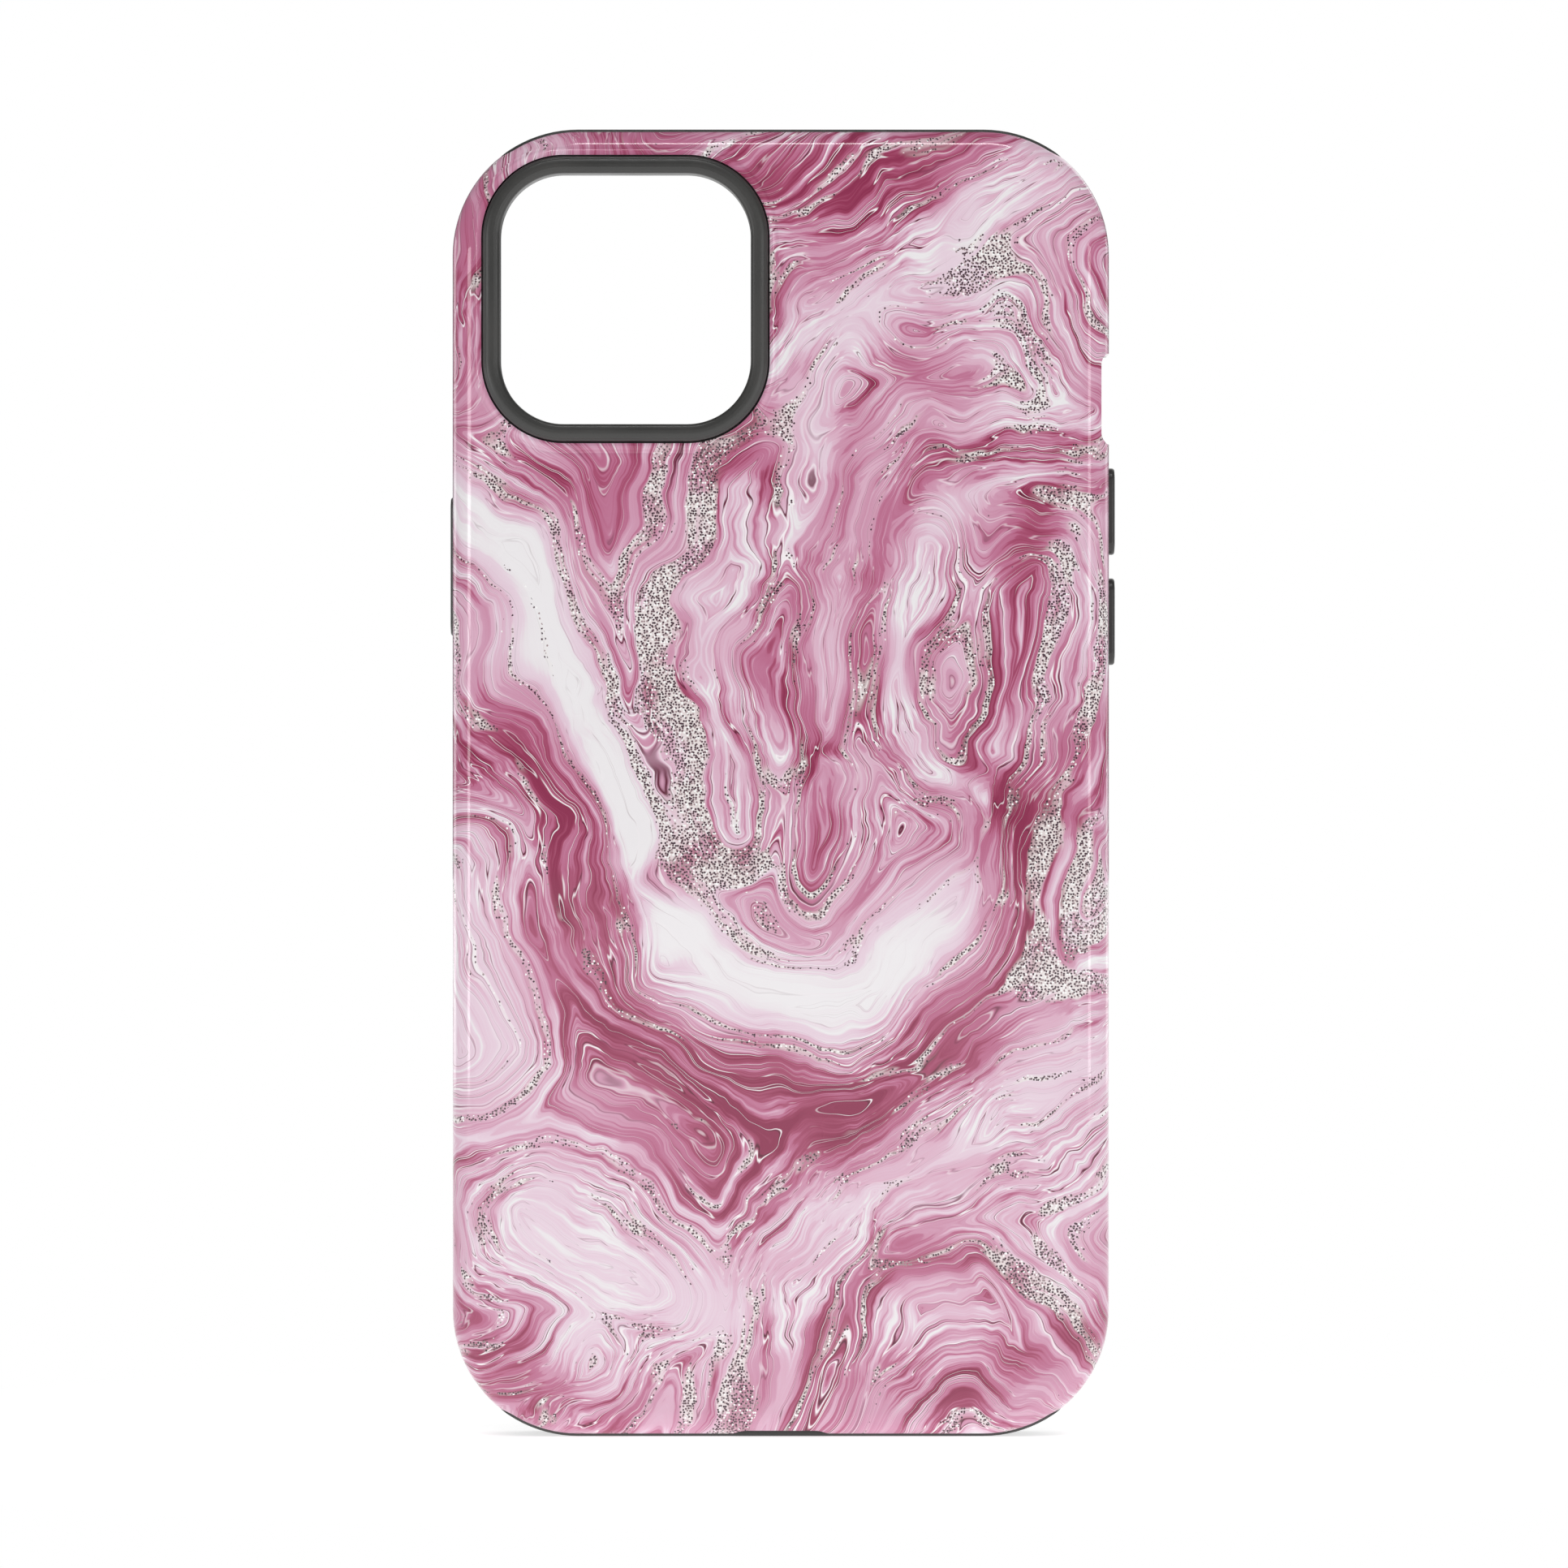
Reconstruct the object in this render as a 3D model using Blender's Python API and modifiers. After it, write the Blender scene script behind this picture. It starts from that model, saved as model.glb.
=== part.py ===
"""A two-layer phone case: a hard printed shell over a soft liner, with push covers for the side
buttons and a magnet ring held between the layers.

Blender units are metres. The outer back face lies in the plane Y = 0 and faces -Y. The phone lies on
the +Y side of it, +Z points to the top of the phone, and the origin is the centre of the magnet ring
on that face. +X is to the right for someone looking at the back.
"""

import math

import bmesh
import bpy
from mathutils import Matrix, Vector

MM = 0.001
X, Y, Z = 0, 1, 2
LEFT, RIGHT = -1, 1

# The phone that the case is made for, and the case's wall around it.
PHONE_WIDTH = 71.6 * MM
PHONE_HEIGHT = 147.6 * MM
PHONE_THICKNESS = 7.8 * MM
PHONE_CLEARANCE = 0.1 * MM
WALL = 2.58 * MM

# The outline of the whole case.
HALF_WIDTH = PHONE_WIDTH / 2 + WALL
HALF_HEIGHT = PHONE_HEIGHT / 2 + WALL
CORNER_RADIUS = 14.7 * MM
BACK_EDGE_RADIUS = 3.0 * MM

# Layers through the back, counted from the outer face.
SHELL_BACK = 1.2 * MM
SHELL_WALL = 1.3 * MM
LAYER_GAP = 0.05 * MM
LINER_REAR = SHELL_BACK + LAYER_GAP
LINER_INSET = SHELL_WALL + LAYER_GAP
POCKET_FLOOR = 2.55 * MM
POCKET_CEILING = POCKET_FLOOR + PHONE_THICKNESS + PHONE_CLEARANCE
SHELL_FRONT = 9.6 * MM
LIP_REAR = SHELL_FRONT + 0.1 * MM
LIP_FRONT = POCKET_CEILING + 1.15 * MM
LIP_OVERLAP = 1.3 * MM
POCKET_FLOOR_RADIUS = 0.8 * MM
POCKET_CEILING_RADIUS = 0.5 * MM
LIP_EDGE_RADIUS = 0.9 * MM
CAVITY_EDGE_RADIUS = 1.9 * MM
PHONE_MIDDLE = POCKET_FLOOR + PHONE_THICKNESS / 2

# The shell has no end walls: there the liner swells out to the outline.
END_OPENING_HALF_WIDTH = 33.1 * MM
END_OPENING_START = 1.6 * MM
END_OPENING_BASE = 60.0 * MM
END_OPENING_RADIUS = 2.0 * MM
BUMPER_GAP = 0.1 * MM
BUMPER_INSET = 0.03 * MM
BUMPER_EDGE_RADIUS = 0.3 * MM

# The camera window, the liner's guard that stands round it and the shell's collar round the guard.
CAMERA_CENTRE = (-18.1 * MM, 56.4 * MM)
GUARD_SIZE = 33.2 * MM
GUARD_RADIUS = 9.4 * MM
GUARD_HEIGHT = 1.6 * MM
GUARD_EDGE_RADIUS = 0.7 * MM
GUARD_GAP = 0.15 * MM
COLLAR_WIDTH = 1.0 * MM
COLLAR_HEIGHT = 0.6 * MM
COLLAR_ROOT = 0.6 * MM
CAMERA_HOLE_SIZE = 29.2 * MM
CAMERA_HOLE_RADIUS = 7.4 * MM

# Side buttons: side, height of the centre, length of the head, how far the head stands out.
BUTTONS = {
    "power_button_cover": (LEFT, 25.36 * MM, 16.25 * MM, 0.35 * MM),
    "volume_up_cover": (RIGHT, 31.82 * MM, 10.15 * MM, 0.80 * MM),
    "volume_down_cover": (RIGHT, 18.91 * MM, 10.15 * MM, 0.80 * MM),
}
BUTTON_HEAD_WIDTH = 3.4 * MM
BUTTON_EDGE_RADIUS = 0.3 * MM
BUTTON_SLOT_GAP = 0.15 * MM
FLANGE_OVERHANG = 0.68 * MM
FLANGE_THICKNESS = 0.63 * MM
FLANGE_GAP = 0.12 * MM

# The notch and the window for the mute switch, on the right-hand side.
MUTE_CENTRE = 44.86 * MM
MUTE_NOTCH_LENGTH = 10.6 * MM
MUTE_NOTCH_START = 0.83 * MM
MUTE_NOTCH_RADIUS = 1.3 * MM
MUTE_LIP_SETBACK = 1.0 * MM
MUTE_LIP_RADIUS = 0.4 * MM
MUTE_WINDOW_LENGTH = 8.2 * MM
MUTE_WINDOW_WIDTH = 4.8 * MM

# A slot's corner radius as a share of its width: nearly a full half-round end, or a softer one.
ROUND_END = 0.49
SOFT_END = 0.40
FLANGE_END = 0.30

# Openings in the bottom end.
PORT_WIDTH = 12.2 * MM
PORT_DEPTH = 6.0 * MM
PORT_SCOOP_WIDTH = 12.9 * MM
PORT_SCOOP_START = 1.07 * MM
PORT_SCOOP_RADIUS = 2.5 * MM
SPEAKER_CENTRE = 18.6 * MM
SPEAKER_LENGTH = 9.6 * MM
SPEAKER_WIDTH = 2.6 * MM

# The magnet ring and the bar magnet below it.
MAGNET_COUNT = 18
MAGNET_INNER_RADIUS = 23.0 * MM
MAGNET_OUTER_RADIUS = 27.0 * MM
MAGNET_THICKNESS = 0.6 * MM
MAGNET_SPACING = 0.3 * MM
MAGNET_ARC_STEPS = 5
BAR_WIDTH = 6.0 * MM
BAR_LENGTH = 20.0 * MM
BAR_TOP = -32.0 * MM
BAR_RADIUS = 0.4 * MM
FILM_THICKNESS = 0.15 * MM
FILM_MARGIN = 0.3 * MM
MAGNET_GAP = 0.04 * MM
GROOVE_MARGIN = 0.4 * MM

# The shallow line moulded in the pocket floor round the magnet ring.
WITNESS_RADIUS = 28.4 * MM
WITNESS_WIDTH = 0.5 * MM
WITNESS_DEPTH = 0.15 * MM

# Upright grooves in the liner's corners, which let them give when the case is dropped.
CUSHION_ANGLES = (22, 45, 68)
CUSHION_RADIUS = 0.6 * MM
CUSHION_REAR = POCKET_FLOOR + 1.2 * MM
CUSHION_FRONT = POCKET_CEILING - 0.4 * MM

LARGE_STEPS = 12
SMALL_STEPS = 5
EDGE_STEPS = 4
TURN_STEPS = 64
GROOVE_STEPS = 8
LARGE_RADIUS = 5.0 * MM
SMOOTH_ANGLE = math.radians(40)
TINY = 1e-7
MERGE_DISTANCE = 0.01 * MM
BEYOND = 8.0 * MM
OVERLAP = 1.0 * MM


def clear_scene():
    for obj in list(bpy.data.objects):
        bpy.data.objects.remove(obj)


def new_collection(name, hidden=False):
    collection = bpy.data.collections.new(name)
    collection.hide_render = hidden
    bpy.context.scene.collection.children.link(collection)
    return collection


def plain_material(name, colour, roughness, metallic=0.0):
    material = bpy.data.materials.new(name)
    material.use_nodes = True
    shader = material.node_tree.nodes["Principled BSDF"]
    shader.inputs["Base Color"].default_value = (*colour, 1.0)
    shader.inputs["Roughness"].default_value = roughness
    shader.inputs["Metallic"].default_value = metallic
    return material


def as_helper(obj):
    """Marks an object that only cuts or joins another."""
    obj.hide_render = True
    obj.display_type = "WIRE"
    return obj


def object_from_bmesh(bm, name, collection):
    mesh = bpy.data.meshes.new(name)
    bm.to_mesh(mesh)
    bm.free()
    mesh.shade_smooth()
    mesh.set_sharp_from_angle(angle=SMOOTH_ANGLE)
    obj = bpy.data.objects.new(name, mesh)
    collection.objects.link(obj)
    return obj


def round_edges(bm, edges, radius, steps):
    bmesh.ops.bevel(
        bm, geom=edges, offset=radius, segments=steps, profile=0.5, affect="EDGES"
    )


def rounded_box(name, collection, low, high, axis, radius, low_round=0.0, high_round=0.0):
    """A box whose four edges along an axis are rounded, and its rim at either end if asked."""
    low, high = Vector(low), Vector(high)
    size = high - low
    steps = LARGE_STEPS if radius > LARGE_RADIUS else SMALL_STEPS
    bm = bmesh.new()
    bmesh.ops.create_cube(bm, size=1.0)
    bmesh.ops.scale(bm, vec=size, verts=bm.verts)
    bmesh.ops.translate(bm, vec=(low + high) / 2, verts=bm.verts)
    along = [e for e in bm.edges if abs((e.verts[0].co - e.verts[1].co)[axis]) > size[axis] / 2]
    round_edges(bm, along, radius, steps)
    for level, rim_radius in ((low[axis], low_round), (high[axis], high_round)):
        if rim_radius:
            rim = [e for e in bm.edges if all(abs(v.co[axis] - level) < TINY for v in e.verts)]
            round_edges(bm, rim, rim_radius, EDGE_STEPS)
    return object_from_bmesh(bm, name, collection)


def case_slab(name, collection, inset, rear, front, rear_round=0.0, front_round=0.0):
    """A slab with the case's outline drawn in by an inset, between two depths."""
    half = Vector((HALF_WIDTH - inset, 0, HALF_HEIGHT - inset))
    return rounded_box(
        name,
        collection,
        (-half.x, rear, -half.z),
        (half.x, front, half.z),
        Y,
        CORNER_RADIUS - inset,
        rear_round,
        front_round,
    )


def camera_slab(name, collection, size, radius, rear, front, rear_round=0.0):
    """A slab with the camera window's outline."""
    x, z = CAMERA_CENTRE
    half = size / 2
    low, high = (x - half, rear, z - half), (x + half, front, z + half)
    return rounded_box(name, collection, low, high, Y, radius, rear_round)


def turned_ring(name, collection, inner, outer, rear, front):
    """A flat ring about the Y axis: a rectangle with a Screw modifier."""
    mesh = bpy.data.meshes.new(name)
    corners = [(inner, rear, 0), (inner, front, 0), (outer, front, 0), (outer, rear, 0)]
    mesh.from_pydata(corners, [(0, 1), (1, 2), (2, 3), (3, 0)], [])
    obj = bpy.data.objects.new(name, mesh)
    collection.objects.link(obj)
    screw = obj.modifiers.new("turn", "SCREW")
    screw.axis = "Y"
    screw.steps = screw.render_steps = TURN_STEPS
    screw.use_merge_vertices = True
    screw.merge_threshold = MERGE_DISTANCE
    return obj


def boolean(obj, other, operation):
    modifier = obj.modifiers.new(f"{operation.lower()} {other.name}", "BOOLEAN")
    modifier.operation = operation
    modifier.solver = "EXACT"
    modifier.object = as_helper(other)


def cut(obj, *others):
    for other in others:
        boolean(obj, other, "DIFFERENCE")


def join(obj, *others):
    for other in others:
        boolean(obj, other, "UNION")


def side_box(name, collection, side, depths, z_middle, length, width, radius):
    """A rounded box that points out through a side wall, between two distances from the middle."""
    near, far = sorted(side * depth for depth in depths)
    low = (near, PHONE_MIDDLE - width / 2, z_middle - length / 2)
    high = (far, PHONE_MIDDLE + width / 2, z_middle + length / 2)
    return rounded_box(name, collection, low, high, X, radius)


def end_opening(name, collection, end, margin):
    """The space where the shell has no end wall, drawn in by a margin."""
    half = END_OPENING_HALF_WIDTH - margin
    near, far = sorted((end * END_OPENING_BASE, end * (HALF_HEIGHT + BEYOND)))
    low = (-half, END_OPENING_START + margin, near)
    high = (half, LIP_FRONT + BEYOND, far)
    return rounded_box(name, collection, low, high, Z, END_OPENING_RADIUS)


def mute_notch(name, collection):
    """The open-fronted notch that leaves the mute switch's side of the liner bare."""
    half = MUTE_NOTCH_LENGTH / 2
    low = (HALF_WIDTH - WALL, MUTE_NOTCH_START, MUTE_CENTRE - half)
    high = (HALF_WIDTH + BEYOND, LIP_FRONT + BEYOND, MUTE_CENTRE + half)
    return rounded_box(name, collection, low, high, X, MUTE_NOTCH_RADIUS)


def mute_window(name, collection):
    """The hole in the liner that the mute switch is reached through."""
    depths = (HALF_WIDTH - WALL - BEYOND / 4, HALF_WIDTH + BEYOND)
    radius = MUTE_WINDOW_WIDTH * ROUND_END
    return side_box(
        name, collection, RIGHT, depths, MUTE_CENTRE, MUTE_WINDOW_LENGTH, MUTE_WINDOW_WIDTH, radius
    )


def bottom_slot(name, collection, x_middle, length, width):
    """A long slot that points down out of the liner's bottom end."""
    low = (x_middle - length / 2, PHONE_MIDDLE - width / 2, -HALF_HEIGHT - BEYOND)
    high = (x_middle + length / 2, PHONE_MIDDLE + width / 2, -HALF_HEIGHT + WALL + BEYOND / 4)
    return rounded_box(name, collection, low, high, Z, width * ROUND_END)


def make_shell(parts, helpers):
    """The printed hard shell: back, side walls and corners, open at both ends and at the front."""
    shell = case_slab("outer_shell", parts, 0, 0, SHELL_FRONT, rear_round=BACK_EDGE_RADIUS)
    cavity = case_slab(
        "shell_cavity",
        helpers,
        SHELL_WALL,
        SHELL_BACK,
        SHELL_FRONT + BEYOND,
        rear_round=CAVITY_EDGE_RADIUS,
    )
    window_size = GUARD_SIZE + 2 * GUARD_GAP
    window_radius = GUARD_RADIUS + GUARD_GAP
    window = camera_slab("shell_window", helpers, window_size, window_radius, -BEYOND, BEYOND)
    collar = camera_slab(
        "window_collar",
        helpers,
        window_size + 2 * COLLAR_WIDTH,
        window_radius + COLLAR_WIDTH,
        -COLLAR_HEIGHT,
        COLLAR_ROOT,
        rear_round=COLLAR_HEIGHT,
    )
    scoop = rounded_box(
        "port_scoop",
        helpers,
        (-PORT_SCOOP_WIDTH / 2, PORT_SCOOP_START, -HALF_HEIGHT - BEYOND),
        (PORT_SCOOP_WIDTH / 2, SHELL_FRONT, -HALF_HEIGHT + WALL),
        Z,
        PORT_SCOOP_RADIUS,
    )
    join(shell, collar)
    cut(shell, cavity, window, scoop, mute_notch("shell_mute_notch", helpers))
    for name, end in (("top_opening", 1), ("bottom_opening", -1)):
        cut(shell, end_opening(name, helpers, end, 0))
    for name, (side, z_middle, length, _) in BUTTONS.items():
        depths = (HALF_WIDTH - WALL, HALF_WIDTH + BEYOND)
        slot_length = length + 2 * BUTTON_SLOT_GAP
        slot_width = BUTTON_HEAD_WIDTH + 2 * BUTTON_SLOT_GAP
        radius = slot_width * SOFT_END
        slot = side_box(
            f"{name}_slot", helpers, side, depths, z_middle, slot_length, slot_width, radius
        )
        cut(shell, slot)
    return shell


def make_bumpers(helpers):
    """The liner's two ends, which fill the shell's open ends out to the case's outline."""
    bumpers = []
    for name, end in (("top_bumper", 1), ("bottom_bumper", -1)):
        bumper = case_slab(
            name,
            helpers,
            BUMPER_INSET,
            END_OPENING_START + BUMPER_GAP,
            LIP_REAR + LAYER_GAP,
            rear_round=BUMPER_EDGE_RADIUS,
        )
        space = end_opening(f"{name}_space", helpers, end, BUMPER_GAP)
        boolean(bumper, space, "INTERSECT")
        bumpers.append(bumper)
    return bumpers


def move_to(obj, collection):
    for owner in list(obj.users_collection):
        owner.objects.unlink(obj)
    collection.objects.link(obj)


def set_origin(obj, point):
    """Moves an object's origin to a point and leaves its shape where it is."""
    obj.data.transform(Matrix.Translation(-Vector(point)))
    obj.location = point


def cushion_grooves(helpers):
    """Cutters for the upright grooves, set on the pocket's corner arcs."""
    arc_radius = CORNER_RADIUS - WALL + PHONE_CLEARANCE
    centre_x = PHONE_WIDTH / 2 + PHONE_CLEARANCE - arc_radius
    centre_z = PHONE_HEIGHT / 2 + PHONE_CLEARANCE - arc_radius
    grooves = []
    for side in (LEFT, RIGHT):
        for end in (-1, 1):
            for degrees in CUSHION_ANGLES:
                angle = math.radians(degrees)
                x = side * (centre_x + arc_radius * math.cos(angle))
                z = end * (centre_z + arc_radius * math.sin(angle))
                bpy.ops.mesh.primitive_cylinder_add(
                    vertices=GROOVE_STEPS,
                    radius=CUSHION_RADIUS,
                    depth=CUSHION_FRONT - CUSHION_REAR,
                    location=(x, (CUSHION_REAR + CUSHION_FRONT) / 2, z),
                    rotation=(math.pi / 2, 0, 0),
                )
                groove = bpy.context.object
                groove.name = f"cushion_groove_{len(grooves)}"
                move_to(groove, helpers)
                grooves.append(groove)
    return grooves


def flange_box(name, collection, button, gap):
    """A button cover's flange, or with a gap the window that holds it in the liner."""
    side, z_middle, length, _ = button
    outer = HALF_WIDTH - LINER_INSET
    depths = (outer - FLANGE_THICKNESS, outer)
    if gap:
        depths = (HALF_WIDTH - WALL - BEYOND / 4, outer + BEYOND)
    length += 2 * (FLANGE_OVERHANG + gap)
    width = BUTTON_HEAD_WIDTH + 2 * (FLANGE_OVERHANG + gap)
    return side_box(name, collection, side, depths, z_middle, length, width, width * FLANGE_END)


def make_liner(parts, helpers):
    """The soft liner: the phone's pocket, the lip over its screen and the raised camera guard."""
    liner = case_slab(
        "inner_liner",
        parts,
        LINER_INSET,
        LINER_REAR,
        LIP_REAR + LAYER_GAP,
        rear_round=CAVITY_EDGE_RADIUS - LAYER_GAP,
    )
    lip = case_slab("lip", helpers, LAYER_GAP, LIP_REAR, LIP_FRONT, front_round=LIP_EDGE_RADIUS)
    guard = camera_slab(
        "camera_guard",
        helpers,
        GUARD_SIZE,
        GUARD_RADIUS,
        -GUARD_HEIGHT,
        POCKET_FLOOR - LAYER_GAP,
        rear_round=GUARD_EDGE_RADIUS,
    )
    join(liner, lip, *make_bumpers(helpers), guard)

    pocket = case_slab(
        "pocket",
        helpers,
        WALL - PHONE_CLEARANCE,
        POCKET_FLOOR,
        POCKET_CEILING,
        POCKET_FLOOR_RADIUS,
        POCKET_CEILING_RADIUS,
    )
    screen = case_slab(
        "screen_opening",
        helpers,
        WALL + LIP_OVERLAP,
        POCKET_CEILING - OVERLAP,
        LIP_FRONT + OVERLAP,
    )
    camera_hole = camera_slab(
        "camera_hole", helpers, CAMERA_HOLE_SIZE, CAMERA_HOLE_RADIUS, -BEYOND, POCKET_FLOOR + OVERLAP
    )
    cut(liner, pocket, screen, camera_hole)

    groove_floor = magnet_front() + MAGNET_GAP
    ring_groove = turned_ring(
        "ring_groove",
        helpers,
        MAGNET_INNER_RADIUS - GROOVE_MARGIN,
        MAGNET_OUTER_RADIUS + GROOVE_MARGIN,
        0,
        groove_floor,
    )
    half_bar = BAR_WIDTH / 2 + GROOVE_MARGIN
    bar_groove = rounded_box(
        "bar_groove",
        helpers,
        (-half_bar, 0, BAR_TOP - BAR_LENGTH - GROOVE_MARGIN),
        (half_bar, groove_floor, BAR_TOP + GROOVE_MARGIN),
        Y,
        BAR_RADIUS + GROOVE_MARGIN,
    )
    witness = turned_ring(
        "witness_line",
        helpers,
        WITNESS_RADIUS - WITNESS_WIDTH / 2,
        WITNESS_RADIUS + WITNESS_WIDTH / 2,
        POCKET_FLOOR - WITNESS_DEPTH,
        POCKET_FLOOR + OVERLAP,
    )
    cut(liner, ring_groove, bar_groove, witness)

    lip_setback = rounded_box(
        "mute_lip_setback",
        helpers,
        (HALF_WIDTH - MUTE_LIP_SETBACK, SHELL_FRONT - OVERLAP, MUTE_CENTRE - MUTE_NOTCH_LENGTH / 2),
        (HALF_WIDTH + BEYOND, LIP_FRONT + BEYOND, MUTE_CENTRE + MUTE_NOTCH_LENGTH / 2),
        Y,
        MUTE_LIP_RADIUS,
    )
    cut(liner, lip_setback, mute_window("liner_mute_window", helpers))
    cut(liner, bottom_slot("port_slot", helpers, 0, PORT_WIDTH, PORT_DEPTH))
    for name, side in (("speaker_slot", RIGHT), ("microphone_slot", LEFT)):
        cut(liner, bottom_slot(name, helpers, side * SPEAKER_CENTRE, SPEAKER_LENGTH, SPEAKER_WIDTH))
    for name, button in BUTTONS.items():
        cut(liner, flange_box(f"{name}_window", helpers, button, FLANGE_GAP))
    cut(liner, *cushion_grooves(helpers))
    return liner


def make_button(name, button, parts, helpers):
    """A push cover: a head that stands out through the shell, on a flange behind it."""
    side, z_middle, length, stands_out = button
    cover = flange_box(name, parts, button, 0)
    root = HALF_WIDTH - LINER_INSET - FLANGE_THICKNESS / 2
    near, far = sorted((side * root, side * (HALF_WIDTH + stands_out)))
    half_width = BUTTON_HEAD_WIDTH / 2
    head = rounded_box(
        f"{name}_head",
        helpers,
        (near, PHONE_MIDDLE - half_width, z_middle - length / 2),
        (far, PHONE_MIDDLE + half_width, z_middle + length / 2),
        X,
        BUTTON_HEAD_WIDTH * SOFT_END,
        low_round=BUTTON_EDGE_RADIUS if side == LEFT else 0.0,
        high_round=BUTTON_EDGE_RADIUS if side == RIGHT else 0.0,
    )
    join(cover, head)
    set_origin(cover, (side * HALF_WIDTH, PHONE_MIDDLE, z_middle))
    return cover


def film_front():
    return LINER_REAR + MAGNET_GAP + FILM_THICKNESS


def magnet_front():
    return film_front() + MAGNET_GAP + MAGNET_THICKNESS


def make_films(parts):
    """The two thin films that the magnets are stuck to: a ring, and a strip for the bar."""
    rear, front = LINER_REAR + MAGNET_GAP, film_front()
    ring = turned_ring(
        "ring_film",
        parts,
        MAGNET_INNER_RADIUS - FILM_MARGIN,
        MAGNET_OUTER_RADIUS + FILM_MARGIN,
        rear,
        front,
    )
    half_bar = BAR_WIDTH / 2 + FILM_MARGIN
    strip = rounded_box(
        "bar_film",
        parts,
        (-half_bar, rear, BAR_TOP - BAR_LENGTH - FILM_MARGIN),
        (half_bar, front, BAR_TOP + FILM_MARGIN),
        Y,
        BAR_RADIUS + FILM_MARGIN,
    )
    return ring, strip


def arc_outline():
    """The outline of one magnet of the ring, as points about the ring's centre."""
    middle_radius = (MAGNET_INNER_RADIUS + MAGNET_OUTER_RADIUS) / 2
    half_angle = math.pi / MAGNET_COUNT - MAGNET_SPACING / middle_radius / 2
    angles = [half_angle * (2 * i / MAGNET_ARC_STEPS - 1) for i in range(MAGNET_ARC_STEPS + 1)]
    outer = [(MAGNET_OUTER_RADIUS * math.cos(a), MAGNET_OUTER_RADIUS * math.sin(a)) for a in angles]
    inner = [(MAGNET_INNER_RADIUS * math.cos(a), MAGNET_INNER_RADIUS * math.sin(a)) for a in angles]
    return outer + inner[::-1]


def make_magnets(parts):
    """The ring of arc magnets, which share one curve, and the bar magnet that lines a phone up."""
    curve = bpy.data.curves.new("arc_magnet", "CURVE")
    curve.dimensions = "2D"
    curve.fill_mode = "BOTH"
    curve.extrude = MAGNET_THICKNESS / 2
    points = arc_outline()
    spline = curve.splines.new("POLY")
    spline.points.add(len(points) - 1)
    for point, (x, y) in zip(spline.points, points):
        point.co = (x, y, 0, 1)
    spline.use_cyclic_u = True
    magnets = []
    for i in range(MAGNET_COUNT):
        magnet = bpy.data.objects.new(f"arc_magnet_{i + 1:02d}", curve)
        magnet.location = (0, magnet_front() - MAGNET_THICKNESS / 2, 0)
        turn = math.pi / 2 - (i + 0.5) * 2 * math.pi / MAGNET_COUNT
        magnet.rotation_euler = (math.pi / 2, -turn, 0)
        parts.objects.link(magnet)
        magnets.append(magnet)
    rear, front = magnet_front() - MAGNET_THICKNESS, magnet_front()
    low, high = (-BAR_WIDTH / 2, rear, BAR_TOP - BAR_LENGTH), (BAR_WIDTH / 2, front, BAR_TOP)
    magnets.append(rounded_box("bar_magnet", parts, low, high, Y, BAR_RADIUS))
    return magnets


def main():
    clear_scene()
    parts = new_collection("phone_case")
    helpers = new_collection("cutters", hidden=True)
    printed = plain_material("printed_polycarbonate", (0.62, 0.34, 0.43), 0.18)
    soft = plain_material("dark_grey_tpu", (0.055, 0.055, 0.052), 0.6)
    film = plain_material("pet_film", (0.75, 0.75, 0.72), 0.35)
    nickel = plain_material("nickel_plated_magnet", (0.62, 0.60, 0.57), 0.28, 1.0)

    make_shell(parts, helpers).data.materials.append(printed)
    make_liner(parts, helpers).data.materials.append(soft)
    for name, button in BUTTONS.items():
        make_button(name, button, parts, helpers).data.materials.append(soft)
    for piece in make_films(parts):
        piece.data.materials.append(film)
    magnets = make_magnets(parts)
    for piece in (magnets[0], magnets[-1]):
        piece.data.materials.append(nickel)


main()
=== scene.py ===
"""The looks of a two-layer phone case: a glossy shell with a marbled print over a soft grey liner."""

import math

import bmesh
import bpy
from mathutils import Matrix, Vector


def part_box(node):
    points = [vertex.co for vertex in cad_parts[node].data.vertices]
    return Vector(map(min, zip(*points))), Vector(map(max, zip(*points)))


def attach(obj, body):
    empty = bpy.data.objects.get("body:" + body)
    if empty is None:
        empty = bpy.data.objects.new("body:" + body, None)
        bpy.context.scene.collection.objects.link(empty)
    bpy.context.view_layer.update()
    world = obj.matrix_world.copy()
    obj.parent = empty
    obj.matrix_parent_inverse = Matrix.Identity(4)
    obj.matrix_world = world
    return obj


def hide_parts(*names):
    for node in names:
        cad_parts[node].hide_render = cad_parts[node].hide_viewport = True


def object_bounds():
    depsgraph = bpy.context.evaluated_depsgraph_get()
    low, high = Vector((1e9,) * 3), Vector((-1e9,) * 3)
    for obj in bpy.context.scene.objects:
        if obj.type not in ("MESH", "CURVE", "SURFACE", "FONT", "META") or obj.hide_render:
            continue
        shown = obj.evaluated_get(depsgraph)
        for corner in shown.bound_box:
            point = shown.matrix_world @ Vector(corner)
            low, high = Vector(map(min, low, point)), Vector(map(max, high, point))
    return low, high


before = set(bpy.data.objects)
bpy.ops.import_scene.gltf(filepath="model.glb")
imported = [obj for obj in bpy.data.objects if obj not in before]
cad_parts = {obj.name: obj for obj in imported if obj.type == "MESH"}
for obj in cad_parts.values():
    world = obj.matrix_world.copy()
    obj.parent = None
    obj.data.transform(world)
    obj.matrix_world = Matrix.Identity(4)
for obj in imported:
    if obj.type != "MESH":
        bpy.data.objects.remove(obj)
cad_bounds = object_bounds()

MM = 0.001
X, Y, Z = 0, 1, 2
LEFT, RIGHT = -1, 1
ROOT = "case"

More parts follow.
